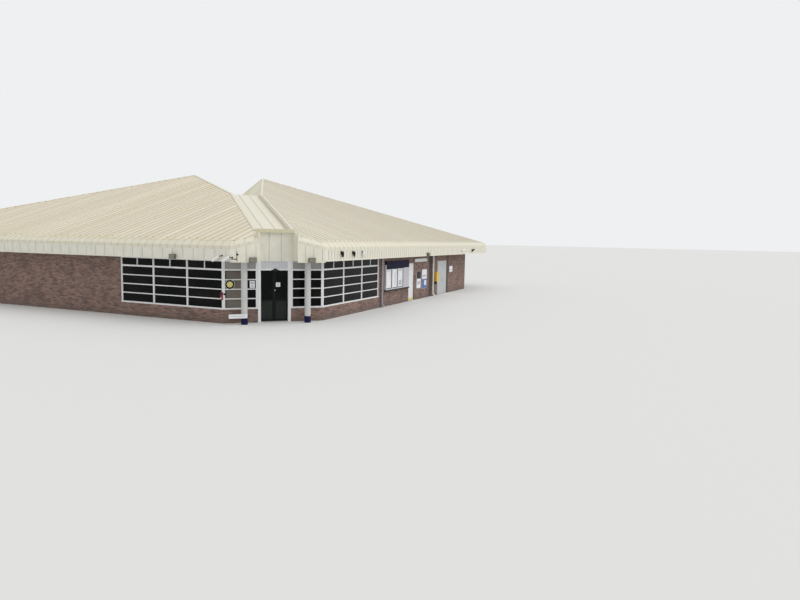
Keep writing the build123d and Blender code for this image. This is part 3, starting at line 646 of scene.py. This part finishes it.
def roof_weather(g, colour, where, x, y, z):
    """Growth along the eaves, and the two slopes that have bleached."""
    near_eave = g.falls(z, EAVE_TOP + 0.10, EAVE_TOP + 0.19)
    tufts = g.patches(where, 3.0, 0.35, 0.65, detail=4.0, stretch=(1, 0.6, 1))
    colour = g.mix(g.calc("MULTIPLY", near_eave, tufts), colour, EAVE_GROWTH, 0.50)
    bleached = g.calc("GREATER_THAN", g.calc("ABSOLUTE", y), g.calc("ABSOLUTE", x))
    return g.mix(bleached, colour, BLEACHED_SHEET, 0.30)


def roof_details(g, colour, x, y, z):
    """Sunk strip with its edges painted light, partly for their own pale colour and partly as painted light
    on upstands turned from the sun, and the cappings, told apart by height over the slopes.
    """
    reach = g.calc("MAXIMUM", g.calc("ABSOLUTE", x), g.calc("ABSOLUTE", y))
    lift = g.calc("SUBTRACT", g.calc("ADD", z, g.calc("MULTIPLY", reach, PITCH)), APEX)
    below = g.falls(lift, -0.025, -0.010)
    colour = g.mix(below, colour, STRIP_SHEET, 0.80)
    # Painted light: a pale band on the upstands beside the strip, partly their own pale colour and partly
    # light on faces turned from the sun
    off_middle = g.calc("ABSOLUTE", g.calc("SUBTRACT", x, y))
    edge = g.band(off_middle, (HALF_STRIP - 0.01) * R2, (HALF_STRIP + 0.04) * R2, 0.01)
    colour = g.mix(g.calc("MULTIPLY", below, edge), colour, LIT_STRIP_EDGE, 0.80)
    above = g.rises(lift, CAPPING_LIFT - 0.003, CAPPING_LIFT - 0.002)
    return g.mix(above, colour, CAPPING, 0.75)


def roof_material(name, sheet, tint, algae, line):
    """Coated sheet roofing that has weathered, with algae in soft patches, painted shade beside the ribs and
    painted light on the strip's edges.
    """
    g = Graph(name, 0.6, Specular_IOR_Level=0.3)
    where = g.surface()
    place = g.place()
    x, y, z = g.axes(place)
    colour = sheet_tones(g, where, sheet, tint, line)
    colour = roof_weather(g, colour, where, x, y, z)
    colour = roof_details(g, colour, x, y, z)
    patch = g.patches(place, 0.35, 0.46, 0.66, detail=4.0)
    g.colour(g.mix(patch, colour, ALGAE, algae))
    g.bump(g.noise(where, 6.0, detail=2.0, stretch=(1, 0.05, 1)), 0.004)
    return g.material


def soffit_material():
    """Soffit boards with open joints."""
    g = Graph("soffit_metal", 0.55)
    where = g.place()
    boards = g.add("TexBrick", {
        "Vector": where, "Color1": (0.52, 0.52, 0.50), "Color2": (0.46, 0.46, 0.445),
        "Mortar": (0.10, 0.10, 0.10), "Scale": 1.0, "Mortar Size": BOARD_JOINT,
        "Brick Width": BOARD_LENGTH, "Row Height": BOARD_WIDTH,
    })
    stain = g.patches(where, 1.2, 0.5, 0.8, detail=4.0)
    g.colour(g.mix(stain, boards.outputs["Color"], (0.28, 0.27, 0.23), 0.3))
    g.bump(g.calc("SUBTRACT", 1.0, boards.outputs["Fac"]), 0.003)
    return g.material


def timber_material():
    """Sawn beams with long grain."""
    g = Graph("eaves_timber", 0.85)
    where = g.surface()
    grain = g.noise(where, 3.0, detail=6.0, stretch=(0.6, 14, 1))
    colour = g.mix(grain, (0.30, 0.20, 0.115), (0.42, 0.30, 0.18))
    stain = g.patches(where, 0.8, 0.5, 0.8)
    g.colour(g.mix(stain, colour, (0.18, 0.13, 0.09), 0.4))
    g.bump(grain, 0.003)
    return g.material


def floor_material():
    """Concrete floor slab with fine cracks and wear."""
    g = Graph("floor_concrete", 0.8)
    where = g.place()
    wear = g.patches(where, 0.7, 0.3, 0.7, detail=6.0)
    colour = g.mix(wear, (0.44, 0.43, 0.41), (0.36, 0.35, 0.33))
    cells = g.add("TexVoronoi", {"Vector": where, "Scale": 0.45}, feature="DISTANCE_TO_EDGE")
    cracks = g.falls(cells.outputs["Distance"], 0.001, 0.006)
    g.colour(g.mix(cracks, colour, (0.15, 0.145, 0.14), 0.6))
    g.bump(g.noise(where, 45.0), 0.0015)
    return g.material


def glass_material(name, dark, light):
    """Dark glass that shows little of the unlit hall."""
    g = Graph(name, 0.06, Specular_IOR_Level=0.08)
    where = g.surface()
    tone = g.patches(where, 0.9, 0.45, 0.75, detail=4.0, stretch=(1, 1.4, 1))
    g.colour(g.mix(tone, dark, light))
    g.bump(g.noise(where, 1.5), 0.002, 0.25)
    return g.material


def make_materials():
    """Materials of the frame's slots and of the small fittings, by name."""
    made = {
        "brick": brick_material(),
        "floor_concrete": floor_material(),
        "soffit_metal": soffit_material(),
        "eaves_timber": timber_material(),
        "pipe_grey": pipe_material(),
    }
    for name, values in GLASS.items():
        made[name] = glass_material(name, *values)
    for name, values in ROOFS.items():
        made[name] = roof_material(name, *values)
    for name, values in PAINTS.items():
        made[name] = paint_material(name, *values)
    for name, values in ROUND_PAINTS.items():
        made[name] = paint_material(name, *values, walls=False)
    return made


def dress_nodes():
    """Put a material on every piece of the frame."""
    for part in frame["record"]["subparts"]:
        name = WEATHERED_AND_SHADED.get(part["node"], part["material_slot"])
        node = frame["nodes"][part["node"]]
        node.data.materials.clear()
        node.data.materials.append(MATERIALS[name])


def slopes():
    """Each slope's outline down to its crank, as places along the eave and inwards, and its map."""
    line = FASCIA - CRANK_DEPTH
    front = diagonal(CANOPY_U + CRANK_DEPTH, HALF_NOTCH, 0)
    notch = diagonal(ENTRANCE_U, HALF_NOTCH, 0)
    foot = diagonal(ENTRANCE_U, HALF_STRIP, 0)
    head = diagonal(CHANNEL_U, HALF_STRIP, 0)
    entrance_half = [
        (CANOPY_X + CRANK_DEPTH * MITRE, -line), (line, -line), (PEAK, -PEAK), (head.x, head.y),
        (foot.x, foot.y), (notch.x, notch.y), (front.x, front.y),
    ]
    back_half = [
        (-line, -line), (line, -line), (CHANNEL_END, -CHANNEL_END),
        (CHANNEL_END - HALF_STRIP * R2, -CHANNEL_END), (-PEAK, -PEAK),
    ]
    return {
        "platform": (entrance_half, lambda c, t: (c, t)),
        "forecourt": (entrance_half, lambda c, t: (t, c)),
        "far": (back_half, lambda c, t: (-t, c)),
        "rear": (back_half, lambda c, t: (c, -t)),
    }


def crossings(outline, c):
    """Lowest and highest places where a line up the slope meets its outline, both 0 if it doesn't."""
    found = []
    for i, (c0, t0) in enumerate(outline):
        c1, t1 = outline[(i + 1) % len(outline)]
        if min(c0, c1) < c < max(c0, c1):
            found.append(t0 + (t1 - t0) * (c - c0) / (c1 - c0))
    return (min(found), max(found)) if found else (0, 0)


def evenly(pitch):
    """Places at an even pitch along an eave, one of them at its middle."""
    count = int(FASCIA / pitch)
    return [pitch * i for i in range(-count, count + 1)]


def section(foot, crest, height, lift=0):
    """Corners of a section, from its half widths, its height and its foot's lift."""
    return ((-foot, lift), (foot, lift), (crest, height), (-crest, height))


def rib_ring(flat, c, t, z, out, up, height):
    """Ring of a rib at one point of its run; out and up give the way that it stands."""
    ring = []
    for a, b in section(RIB_FOOT, RIB_CREST, height):
        x, y = flat(c + a, t - b * out)
        ring.append(Vector((x, y, z + b * up)))
    return ring


def slope_ring(flat, c, t, height):
    """Ring of a rib that stands on the slope."""
    return rib_ring(flat, c, t, EAVE_TOP + (FASCIA + t) * PITCH, 0, 1, height)


def add_slope_rib(ribs, closers, flat, c, low, high):
    """Add a rib up a slope, lower below the lap, with a closer where the upper sheet ends."""
    lap = LAP_BACK - FASCIA
    if low < lap < high:
        runs = ((low, lap, LOW_RIB_HEIGHT), (lap, high, RIB_HEIGHT))
        closers.rings([slope_ring(flat, c, t, RIB_HEIGHT) for t in (lap - CLOSER, lap)])
    else:
        runs = ((low, high, RIB_HEIGHT if low > lap else LOW_RIB_HEIGHT),)
    for start, end, height in runs:
        ribs.rings([slope_ring(flat, c, t, height) for t in (start, end)])


def add_crank_rib(crank, flat, c, low):
    """Add a rib over the crank and down to the fascia."""
    crank.rings([
        slope_ring(flat, c, low, LOW_RIB_HEIGHT),
        rib_ring(flat, c, -FASCIA, EAVE_TOP - CRANK_DROP, 1, 1, LOW_RIB_HEIGHT),
        rib_ring(flat, c, -FASCIA, FASCIA_TOP, 1, 0, LOW_RIB_HEIGHT),
    ])


def make_roof_ribs():
    """Ribs up each slope and over its crank, with dark closers at the lap."""
    for name, (outline, flat) in slopes().items():
        ribs = Piece()
        closers = Piece()
        crank = Piece()
        for c in evenly(RIB_PITCH):
            low, high = crossings(outline, c)
            if high - low < 2 * CLOSER:
                continue
            add_slope_rib(ribs, closers, flat, c, low, high)
            if low < CRANK_DEPTH - FASCIA + CLOSER:
                add_crank_rib(crank, flat, c, low)
        ribs.made(f"roof_ribs_{name}", "roof_rib")
        closers.made(f"roof_closers_{name}", "dark")
        crank.made(f"roof_crank_ribs_{name}", "crank_rib")


def make_strip_seams():
    """Standing seams on the entrance strip, each on a dark strip of painted shade."""
    strip = Fitting("strip_seams")
    seam = section(*SEAM)
    beside = section(*SEAM_SHADE, SEAM_STRIP_LIFT)
    for s in SEAMS:
        for material, outline in (("roof_pale", seam), ("joint", beside)):
            strip.of(material).rings([
                [diagonal(ENTRANCE_U, s + a, STRIP_FOOT + b) for a, b in outline],
                [diagonal(STRIP_HEAD_U, s + a, CHANNEL_HEIGHT + b) for a, b in outline],
            ])
    strip.made()


def make_gable_joints():
    """Joints of the panel at the foot of the entrance strip."""
    joints = Piece()
    depths = layer(GABLE_FACE, JOINT_DEPTH)
    for s in GABLE_JOINTS:
        joints.block(entrance, around(s, HALF_GABLE_JOINT), depths, (GABLE_BOTTOM, CAP_BOTTOM))
    joints.made("gable_joints", "joint")


def make_fascia_ribs():
    """Ribs of the fascias on the platform side and opposite it, each on a dark strip of painted shade."""
    heights = (SOFFIT + LIP_TOP, FASCIA_TOP)
    rib = section(*FASCIA_RIB)
    beside = section(*FASCIA_RIB_SHADE)
    for name, side in (("platform", -1), ("rear", 1)):
        ribs = Fitting(f"fascia_ribs_{name}")
        for c in evenly(FASCIA_RIB_PITCH):
            if side < 0 and c < FASCIA_RIB_START:
                continue
            for material, outline in (("fascia_metal", rib), ("joint", beside)):
                ribs.of(material).rings([
                    [Vector((c + a, side * (FASCIA + b), z)) for a, b in outline] for z in heights
                ])
        ribs.made()


def make_fascia_joints():
    """Joints of the flat fascias and of the canopy's wings."""
    joints = Piece()
    heights = (SOFFIT + LIP_TOP, FASCIA_TOP)
    for side in (-1, 1):
        face = side * FASCIA
        front = face + side * JOINT_DEPTH
        for c in evenly(JOINT_PITCH):
            if side < 0 and c < FASCIA_RIB_START:
                continue
            start, end = around(c, HALF_JOINT)
            corners = ((face, start), (face, end), (front, end), (front, start))
            joints.rings([[(x, y, z) for x, y in corners] for z in heights])
    half_wing = (CANOPY_X + FASCIA) / R2
    for s in WING_JOINTS:
        top = FASCIA_TOP + STRIP_PITCH * (half_wing - abs(s))
        joints.block(canopy, around(s, HALF_JOINT), (-JOINT_DEPTH, 0), (WING_BOTTOM + LIP_TOP, top))
    joints.made("fascia_joints", "joint")


def make_window_bars():
    """Glazing bars of the window screens and of the panes beside the entrance."""
    bars = Piece()
    half = BAR_HEIGHT / 2
    for wall in (platform, forecourt, rear, far):
        for bay in range(BAY_COUNT):
            start = POST + bay * BAY_WIDTH
            end = start + BAY_WIDTH - POST
            for z in BAR_HEIGHTS:
                bars.block(wall, (start, end), BAR_DEPTHS, around(z, half))
            middle = (start + end) / 2
            bars.block(wall, around(middle, half), BAR_DEPTHS, (TRANSOM_TOP, HEAD_BOTTOM))
    for ends in ((-PANE_END, -PANE_EDGE), (PANE_EDGE, PANE_END)):
        for z in BAR_HEIGHTS:
            bars.block(entrance, ends, BAR_DEPTHS, around(z, half))
    bars.made("window_bars", "window_white", bevel=0.004)


def board(fitting, place, along, up, face, areas, rim=0.02, depth=0.015, edge="case_grey"):
    """Framed board on a face, with its areas sunk inside the frame."""
    a0, a1 = along
    z0, z1 = up
    front = face - depth
    between = (z0 + rim, z1 - rim)
    for sides, heights in ((along, (z0, z0 + rim)), (along, (z1 - rim, z1)),
                           ((a0, a0 + rim), between), ((a1 - rim, a1), between)):
        fitting.block(edge, place, sides, (front, face), heights)
    width = a1 - a0 - 2 * rim
    height = z1 - z0 - 2 * rim
    for number, (material, left, right, low, high) in enumerate(areas):
        sides = (a0 + rim + left * width, a0 + rim + right * width)
        heights = (z0 + rim + low * height, z0 + rim + high * height)
        level = front + AREA_SINK - AREA_STEP * number
        fitting.block(material, place, sides, (level, face), heights)


def make_sign_board():
    """Plain board over the sliding doors."""
    sign = Fitting("sign_board")
    board(sign, entrance, along=(-0.61, 0.61), up=(2.49, 2.84), face=0.0, areas=[("sign_grey", *WHOLE)],
          rim=0.018, depth=0.012)
    sign.made()


def make_door_sensor():
    """Domed sensor over the sliding doors, with its base."""
    sensor = Fitting("door_sensor")
    sensor.lathe("dark", entrance(0.03, 0.0, 2.40), entrance(0.03, -0.07, 2.37), 0.10, profile=SENSOR_DOME)
    sensor.block("dark", entrance, along=(-0.14, 0.20), into=(-0.03, 0.0), up=(2.395, 2.43))
    sensor.made()


def make_blinds():
    """Tilted slats close before the glass of the panes at the left."""
    blinds = Piece()
    z = BLIND_BOTTOM
    while z + SLAT_PITCH < BLIND_TOP:
        top = z + SLAT_HEIGHT
        slat = ((SLAT_FOOT[0], z), (SLAT_HEAD[0], top), (SLAT_HEAD[1], top), (SLAT_FOOT[1], z))
        blinds.rings([[entrance(s, e, height) for e, height in slat] for s in BLIND_ENDS])
        z += SLAT_PITCH
    blinds.made("entrance_blinds", "blind")


def make_pane_notice():
    """Notice in the pane at the left of the doors."""
    notice = Fitting("pane_notice")
    areas = [PAPER, ("paper_grey", 0.15, 0.85, 0.55, 0.85), ("paper_grey", 0.3, 0.7, 0.12, 0.35)]
    board(notice, entrance, along=(-1.12, -0.89), up=(1.60, 1.92), face=GLASS_FACE, areas=areas,
          rim=0.006, depth=0.010, edge="paper")
    notice.made()


def make_round_sign():
    """Round sign of three discs on the bars at the left."""
    sign = Fitting("round_sign")
    for material, front, back, radius in SIGN_DISCS:
        sign.lathe(material, entrance(-2.01, back, 1.77), entrance(-2.01, front, 1.77), radius, sides=40)
    sign.made()


def make_column_plate():
    """Plate across the foot of the left column, with a dark strip of painted shadow under it, and its clamp.
    """
    plate = Fitting("column_plate")
    areas = [PAPER, ("paper_grey", 0.1, 0.9, 0.42, 0.58)]
    board(plate, entrance, along=(-2.14, -1.33), up=(0.30, 0.49), face=-0.642, areas=areas,
          rim=0.008, depth=0.014, edge="paper")
    # Dark strip under the plate: painted shadow
    plate.block("dark", entrance, along=(-2.13, -1.33), into=(-0.652, -0.642), up=(0.285, 0.30))
    plate.block("dark", entrance, along=(-1.50, -1.38), into=(-0.646, -0.60), up=(0.33, 0.46))
    plate.made()


def make_call_point():
    """Red call point at the forecourt's first post, and the small dome beside it."""
    call = Fitting("call_point", bevel=0.008)
    call.block("red", forecourt, along=(0.02, 0.14), into=(-0.05, 0.02), up=(1.07, 1.42))
    call.block("dark", forecourt, along=(0.035, 0.125), into=(-0.056, -0.048), up=(1.28, 1.39))
    call.block("paper", forecourt, along=(0.05, 0.11), into=(-0.056, -0.048), up=(1.12, 1.18))
    call.lathe("dark", entrance(-2.25, 0.02, 1.33), entrance(-2.25, -0.045, 1.33), 0.045, profile=SENSOR_DOME)
    call.made()


def make_leaf_fittings():
    """Kick panels and edge seals of the sliding leaves, with the right one's notice and lock."""
    for name, side in (("left", -1), ("right", 1)):
        leaf = Fitting(f"leaf_{name}", f"entrance_leaf_{name}", bevel=0.002)
        panel = sorted((side * 0.075, side * 0.588))
        seal = sorted((side * 0.008, side * 0.016))
        leaf.block("kick", entrance, panel, layer(DOOR_GLASS_FACE, 0.004), up=(0.11, 0.964))
        leaf.block("dark", entrance, seal, layer(LEAF_FACE, 0.002), up=(0.05, 2.42))
        if name == "right":
            add_notice_and_lock(leaf)
        leaf.made()


def add_notice_and_lock(leaf):
    """Add the notice on the glass of a leaf and the round lock on its edge."""
    leaf.block("paper", entrance, (0.085, 0.285), layer(DOOR_GLASS_FACE, 0.003), up=(1.63, 1.83))
    leaf.block("paper_grey", entrance, (0.15, 0.22), layer(DOOR_GLASS_FACE, 0.004), up=(1.67, 1.79))
    front, back = layer(LEAF_FACE, 0.002)
    leaf.lathe("camera_white", entrance(0.042, back, 1.47), entrance(0.042, front, 1.47), 0.022, sides=24)


def make_notice_case_fittings():
    """Dark header, posters, the plain fourth panel and a dark strip of painted shadow along the foot of the
    notice case.
    """
    case = Fitting("case_fittings", bevel=0.003)
    front = CASE_FACE - 0.008
    case.block("navy", platform, along=(7.02, 10.43), into=(front, CASE_FACE), up=(2.19, 2.44))
    case.block("navy", platform, along=(7.02, 10.43), into=(front, -0.002), up=(2.44, 2.63))
    # Dark strip along the case's foot: painted shadow under the case
    case.block("dark", platform, along=(6.93, 10.49), into=(CASE_FACE - 0.02, -0.002), up=(0.89, 0.962))
    for number, areas in enumerate(POSTERS):
        start = CASE_START + number * CASE_PITCH
        ends = (start + POSTER_START, start + CASE_PITCH - POSTER_END)
        board(case, platform, ends, up=(1.03, 2.18), face=CASE_RECESS, areas=areas,
              rim=0.025, depth=0.03, edge="dark")
    board(case, platform, along=(9.57, 10.42), up=(0.99, 2.19), face=CASE_FACE, areas=[("lilac", *WHOLE)],
          depth=0.012, edge="paper")
    case.made()


def make_wall_notices():
    """Notices on the platform wall."""
    for name, along, up, areas in WALL_NOTICES:
        notice = Fitting(name, bevel=0.003)
        board(notice, platform, along, up, face=0.0, areas=areas)
        notice.made()


def make_batten_light():
    """Batten light over the notices, with its tube and end caps."""
    batten = Fitting("batten_light", bevel=0.01)
    batten.block("camera_white", platform, along=(11.45, 13.70), into=(-0.06, 0.0), up=(2.56, 2.68))
    batten.block("paper", platform, along=(11.50, 13.65), into=(-0.10, -0.01), up=(2.48, 2.565))
    for start in (11.45, 13.66):
        batten.block("case_grey", platform, (start, start + 0.04), into=(-0.105, 0.0), up=(2.475, 2.685))
    batten.made()


def make_cabinet():
    """Yellow cabinet with its door, hinges and lock, and the dark box under it."""
    cabinet = Fitting("yellow_cabinet", bevel=0.008)
    cabinet.block("yellow", platform, along=(15.38, 15.81), into=(-0.19, 0.0), up=(1.0, 1.65))
    cabinet.block("yellow", platform, along=(15.40, 15.79), into=(-0.20, -0.18), up=(1.02, 1.63))
    cabinet.block("dark", platform, along=(15.40, 15.58), into=(-0.14, 0.0), up=(0.84, 1.0))
    for z in (1.12, 1.48):
        cabinet.block("case_grey", platform, along=(15.375, 15.395), into=(-0.205, -0.17), up=(z, z + 0.07))
    cabinet.lathe("case_grey", platform(15.75, -0.20, 1.32), platform(15.75, -0.215, 1.32), 0.018)
    cabinet.made()


def make_staff_door_fittings():
    """Kick plate, handle with its plate, and top rail of the staff door."""
    face = SERVICE_DOOR_FACE
    staff = Fitting("staff_door_fittings", "staff_door", bevel=0.003)
    staff.block("yellow_pale", platform, along=(10.715, 11.535), into=layer(face, 0.003), up=(0.045, 0.20))
    staff.block("case_grey", platform, along=(11.44, 11.49), into=layer(face, 0.008), up=(0.98, 1.18))
    staff.lathe("case_grey", platform(11.465, face, 1.06), platform(11.465, face - 0.045, 1.06), 0.010)
    lever = (face - 0.055, face - 0.038)
    staff.block("case_grey", platform, along=(11.345, 11.475), into=lever, up=(1.05, 1.07))
    staff.block("case_grey", platform, along=(10.80, 11.45), into=layer(face, 0.006), up=(2.02, 2.05))
    staff.made()


def make_store_door_fittings():
    """Upright ribs and pulls of the store doors."""
    face = SERVICE_DOOR_FACE
    for name, start in STORE_LEAF_STARTS.items():
        leaf = Fitting(f"store_{name}_fittings", f"store_door_{name}", bevel=0.004)
        depths = layer(face, 0.010)
        for i in range(STORE_RIB_COUNT):
            d = start + STORE_RIB_START + i * STORE_RIB_PITCH
            leaf.block("store_door_grey", platform, around(d, HALF_STORE_RIB), depths, up=(0.10, 2.30))
        pull = start + STORE_PULLS[name]
        out = face - 0.05
        leaf.lathe("case_grey", platform(pull, out, 0.92), platform(pull, out, 1.22), 0.010)
        for z in (0.95, 1.19):
            leaf.lathe("case_grey", platform(pull, face, z), platform(pull, out, z), 0.008)
        leaf.made()


def bullet_camera(name, place, tail, nose, bracket, material):
    """Camera in a round housing under a hood, with its knuckle and a bracket on the fascia."""
    unit = Fitting(name)
    back = place(tail[0], -BULLET_OUT, tail[1])
    front = place(nose[0], -BULLET_OUT, nose[1])
    way = (front - back).normalized()
    unit.lathe(material, back, front, BULLET_RADIUS, profile=BULLET, sides=CAMERA_SIDES)
    unit.lathe("dark", front, front + EYE_DEPTH * way, EYE_RADIUS, sides=CAMERA_SIDES)
    lift = Vector((0, 0, HOOD_LIFT))
    hood_end = front + HOOD_OVERHANG * way + lift
    unit.lathe(material, back.lerp(front, HOOD_START) + lift, hood_end, HOOD_RADIUS, profile=HOOD,
               sides=CAMERA_SIDES)
    knuckle = place(bracket[0], -KNUCKLE_OUT, bracket[1])
    unit.lathe("dark", back, knuckle, ARM_RADIUS)
    unit.lathe("dark", knuckle, place(bracket[0], 0.0, bracket[1]), BRACKET_RADIUS, profile=BRACKET)
    unit.made()


def dome_camera(name, x, top, radius, material):
    """Camera in a dome that hangs from a bracket on the platform fascia."""
    unit = Fitting(name)
    out = radius - DOME_OUT
    unit.block("dark", platform_eave, around(x, 0.05), into=(-0.035, 0.0), up=(top - 0.16, top))
    unit.block("dark", platform_eave, around(x, 0.025), into=(out, -0.02), up=(top - 0.07, top - 0.03))
    start = platform_eave(x, out, top - 0.02)
    end = platform_eave(x, out, top - DOME_HANG - radius)
    unit.lathe(material, start, end, radius, profile=CAMERA_DOME, sides=CAMERA_SIDES)
    unit.made()


def make_conduit():
    """Upright conduit on the forecourt fascia, its branch to the second camera and its box."""
    rod = Fitting("camera_conduit")
    y = -12.62
    rod.lathe("dark", forecourt_eave(y, -0.045, SOFFIT), forecourt_eave(y, -0.045, 3.30), 0.012)
    rod.lathe("dark", forecourt_eave(y, -0.045, 2.96), forecourt_eave(-12.32, -0.055, 2.96), 0.018)
    rod.block("dark", forecourt_eave, along=(-12.66, -12.58), into=(-0.05, 0.0), up=(3.12, 3.20))
    rod.made()


def make_cameras():
    """Cameras and their brackets on the fascias."""
    for name, tail, nose, bracket in FORECOURT_CAMERAS:
        bullet_camera(name, forecourt_eave, tail, nose, bracket, "camera_white")
    make_conduit()
    for values in DOME_CAMERAS:
        dome_camera(*values)
    for name, tail, nose, bracket, material in PLATFORM_CAMERAS:
        bullet_camera(name, platform_eave, tail, nose, bracket, material)


def make_lamps():
    """Lamps of the fascias: housings with a sunk lens behind guard bars."""
    lamps = Fitting("lamps", bevel=0.003)
    spots = [(canopy, s, WING_BOTTOM) for s in CANOPY_LAMPS]
    spots.append((platform_eave, PLATFORM_LAMP - WALL_END, SOFFIT))
    spots.append((forecourt_eave, FORECOURT_LAMP - WALL_END, SOFFIT))
    for place, a, z in spots:
        board(lamps, place, around(a, HALF_LAMP), (z, z + LAMP_HEIGHT), LAMP_BACK, [("lens", *WHOLE)],
              LAMP_RIM, LAMP_DEPTH, "lamp_housing")
        for i in range(GUARD_COUNT):
            bar = z + GUARD_START + GUARD_PITCH * i
            lamps.block("dark", place, around(a, HALF_GUARD), GUARD_DEPTHS, (bar, bar + GUARD_HEIGHT))
    lamps.made()
    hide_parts("fascia_lights")


def make_floor():
    """Pale floor under the building."""
    bpy.ops.mesh.primitive_plane_add(size=STAGE_SIZE)
    floor = bpy.context.object
    floor.name = "stage_floor"
    g = Graph("stage_floor", 0.9)
    g.shader.inputs["Base Color"].default_value = STAGE_COLOUR
    floor.data.materials.append(g.material)


def make_world():
    """Even light from all around, and a pale background."""
    world = bpy.data.worlds.new("studio")
    bpy.context.scene.world = world
    world.use_nodes = True
    tree = world.node_tree
    tree.nodes.clear()
    light = tree.nodes.new("ShaderNodeBackground")
    light.inputs["Color"].default_value = (1, 1, 1, 1)
    light.inputs["Strength"].default_value = SKY_LIGHT
    seen = tree.nodes.new("ShaderNodeBackground")
    seen.inputs["Color"].default_value = BACKDROP
    path = tree.nodes.new("ShaderNodeLightPath")
    shows = path.outputs["Is Camera Ray"]
    for ray in ("Is Glossy Ray", "Is Transmission Ray"):
        either = tree.nodes.new("ShaderNodeMath")
        either.operation = "MAXIMUM"
        tree.links.new(shows, either.inputs[0])
        tree.links.new(path.outputs[ray], either.inputs[1])
        shows = either.outputs[0]
    blend = tree.nodes.new("ShaderNodeMixShader")
    output = tree.nodes.new("ShaderNodeOutputWorld")
    tree.links.new(shows, blend.inputs[0])
    tree.links.new(light.outputs[0], blend.inputs[1])
    tree.links.new(seen.outputs[0], blend.inputs[2])
    tree.links.new(blend.outputs[0], output.inputs["Surface"])


def make_sun():
    """Soft light from the platform side."""
    sun = bpy.data.lights.new("sun", "SUN")
    sun.energy = SUN_LIGHT
    sun.angle = math.radians(SUN_SPREAD)
    lamp = bpy.data.objects.new("sun", sun)
    lamp.rotation_euler = Vector(SUN_FROM).to_track_quat("Z", "Y").to_euler()
    bpy.context.scene.collection.objects.link(lamp)


def make_camera():
    """Camera at the photograph's place and angle."""
    cos_pitch = math.cos(CAMERA_PITCH)
    cos_yaw = math.cos(CAMERA_YAW)
    sin_yaw = math.sin(CAMERA_YAW)
    ahead = Vector((cos_yaw * cos_pitch, sin_yaw * cos_pitch, -math.sin(CAMERA_PITCH)))
    level = Vector((sin_yaw, -cos_yaw, 0))
    above = level.cross(ahead)
    right = math.cos(CAMERA_ROLL) * level + math.sin(CAMERA_ROLL) * above
    up = math.cos(CAMERA_ROLL) * above - math.sin(CAMERA_ROLL) * level
    data = bpy.data.cameras.new("camera")
    data.lens = CAMERA_LENS
    data.sensor_width = SENSOR_WIDTH
    data.clip_end = STAGE_SIZE
    camera = bpy.data.objects.new("camera", data)
    matrix = Matrix((right, up, -ahead)).transposed().to_4x4()
    matrix.translation = CAMERA_PLACE
    camera.matrix_world = matrix
    bpy.context.scene.collection.objects.link(camera)
    bpy.context.scene.camera = camera
    bpy.context.scene.view_settings.view_transform = "Standard"


MATERIALS = make_materials()
dress_nodes()
make_roof_ribs()
make_strip_seams()
make_gable_joints()
make_fascia_ribs()
make_fascia_joints()
make_window_bars()
make_sign_board()
make_door_sensor()
make_blinds()
make_pane_notice()
make_round_sign()
make_column_plate()
make_call_point()
make_leaf_fittings()
make_notice_case_fittings()
make_wall_notices()
make_batten_light()
make_cabinet()
make_staff_door_fittings()
make_store_door_fittings()
make_cameras()
make_lamps()
make_floor()
make_world()
make_sun()
make_camera()
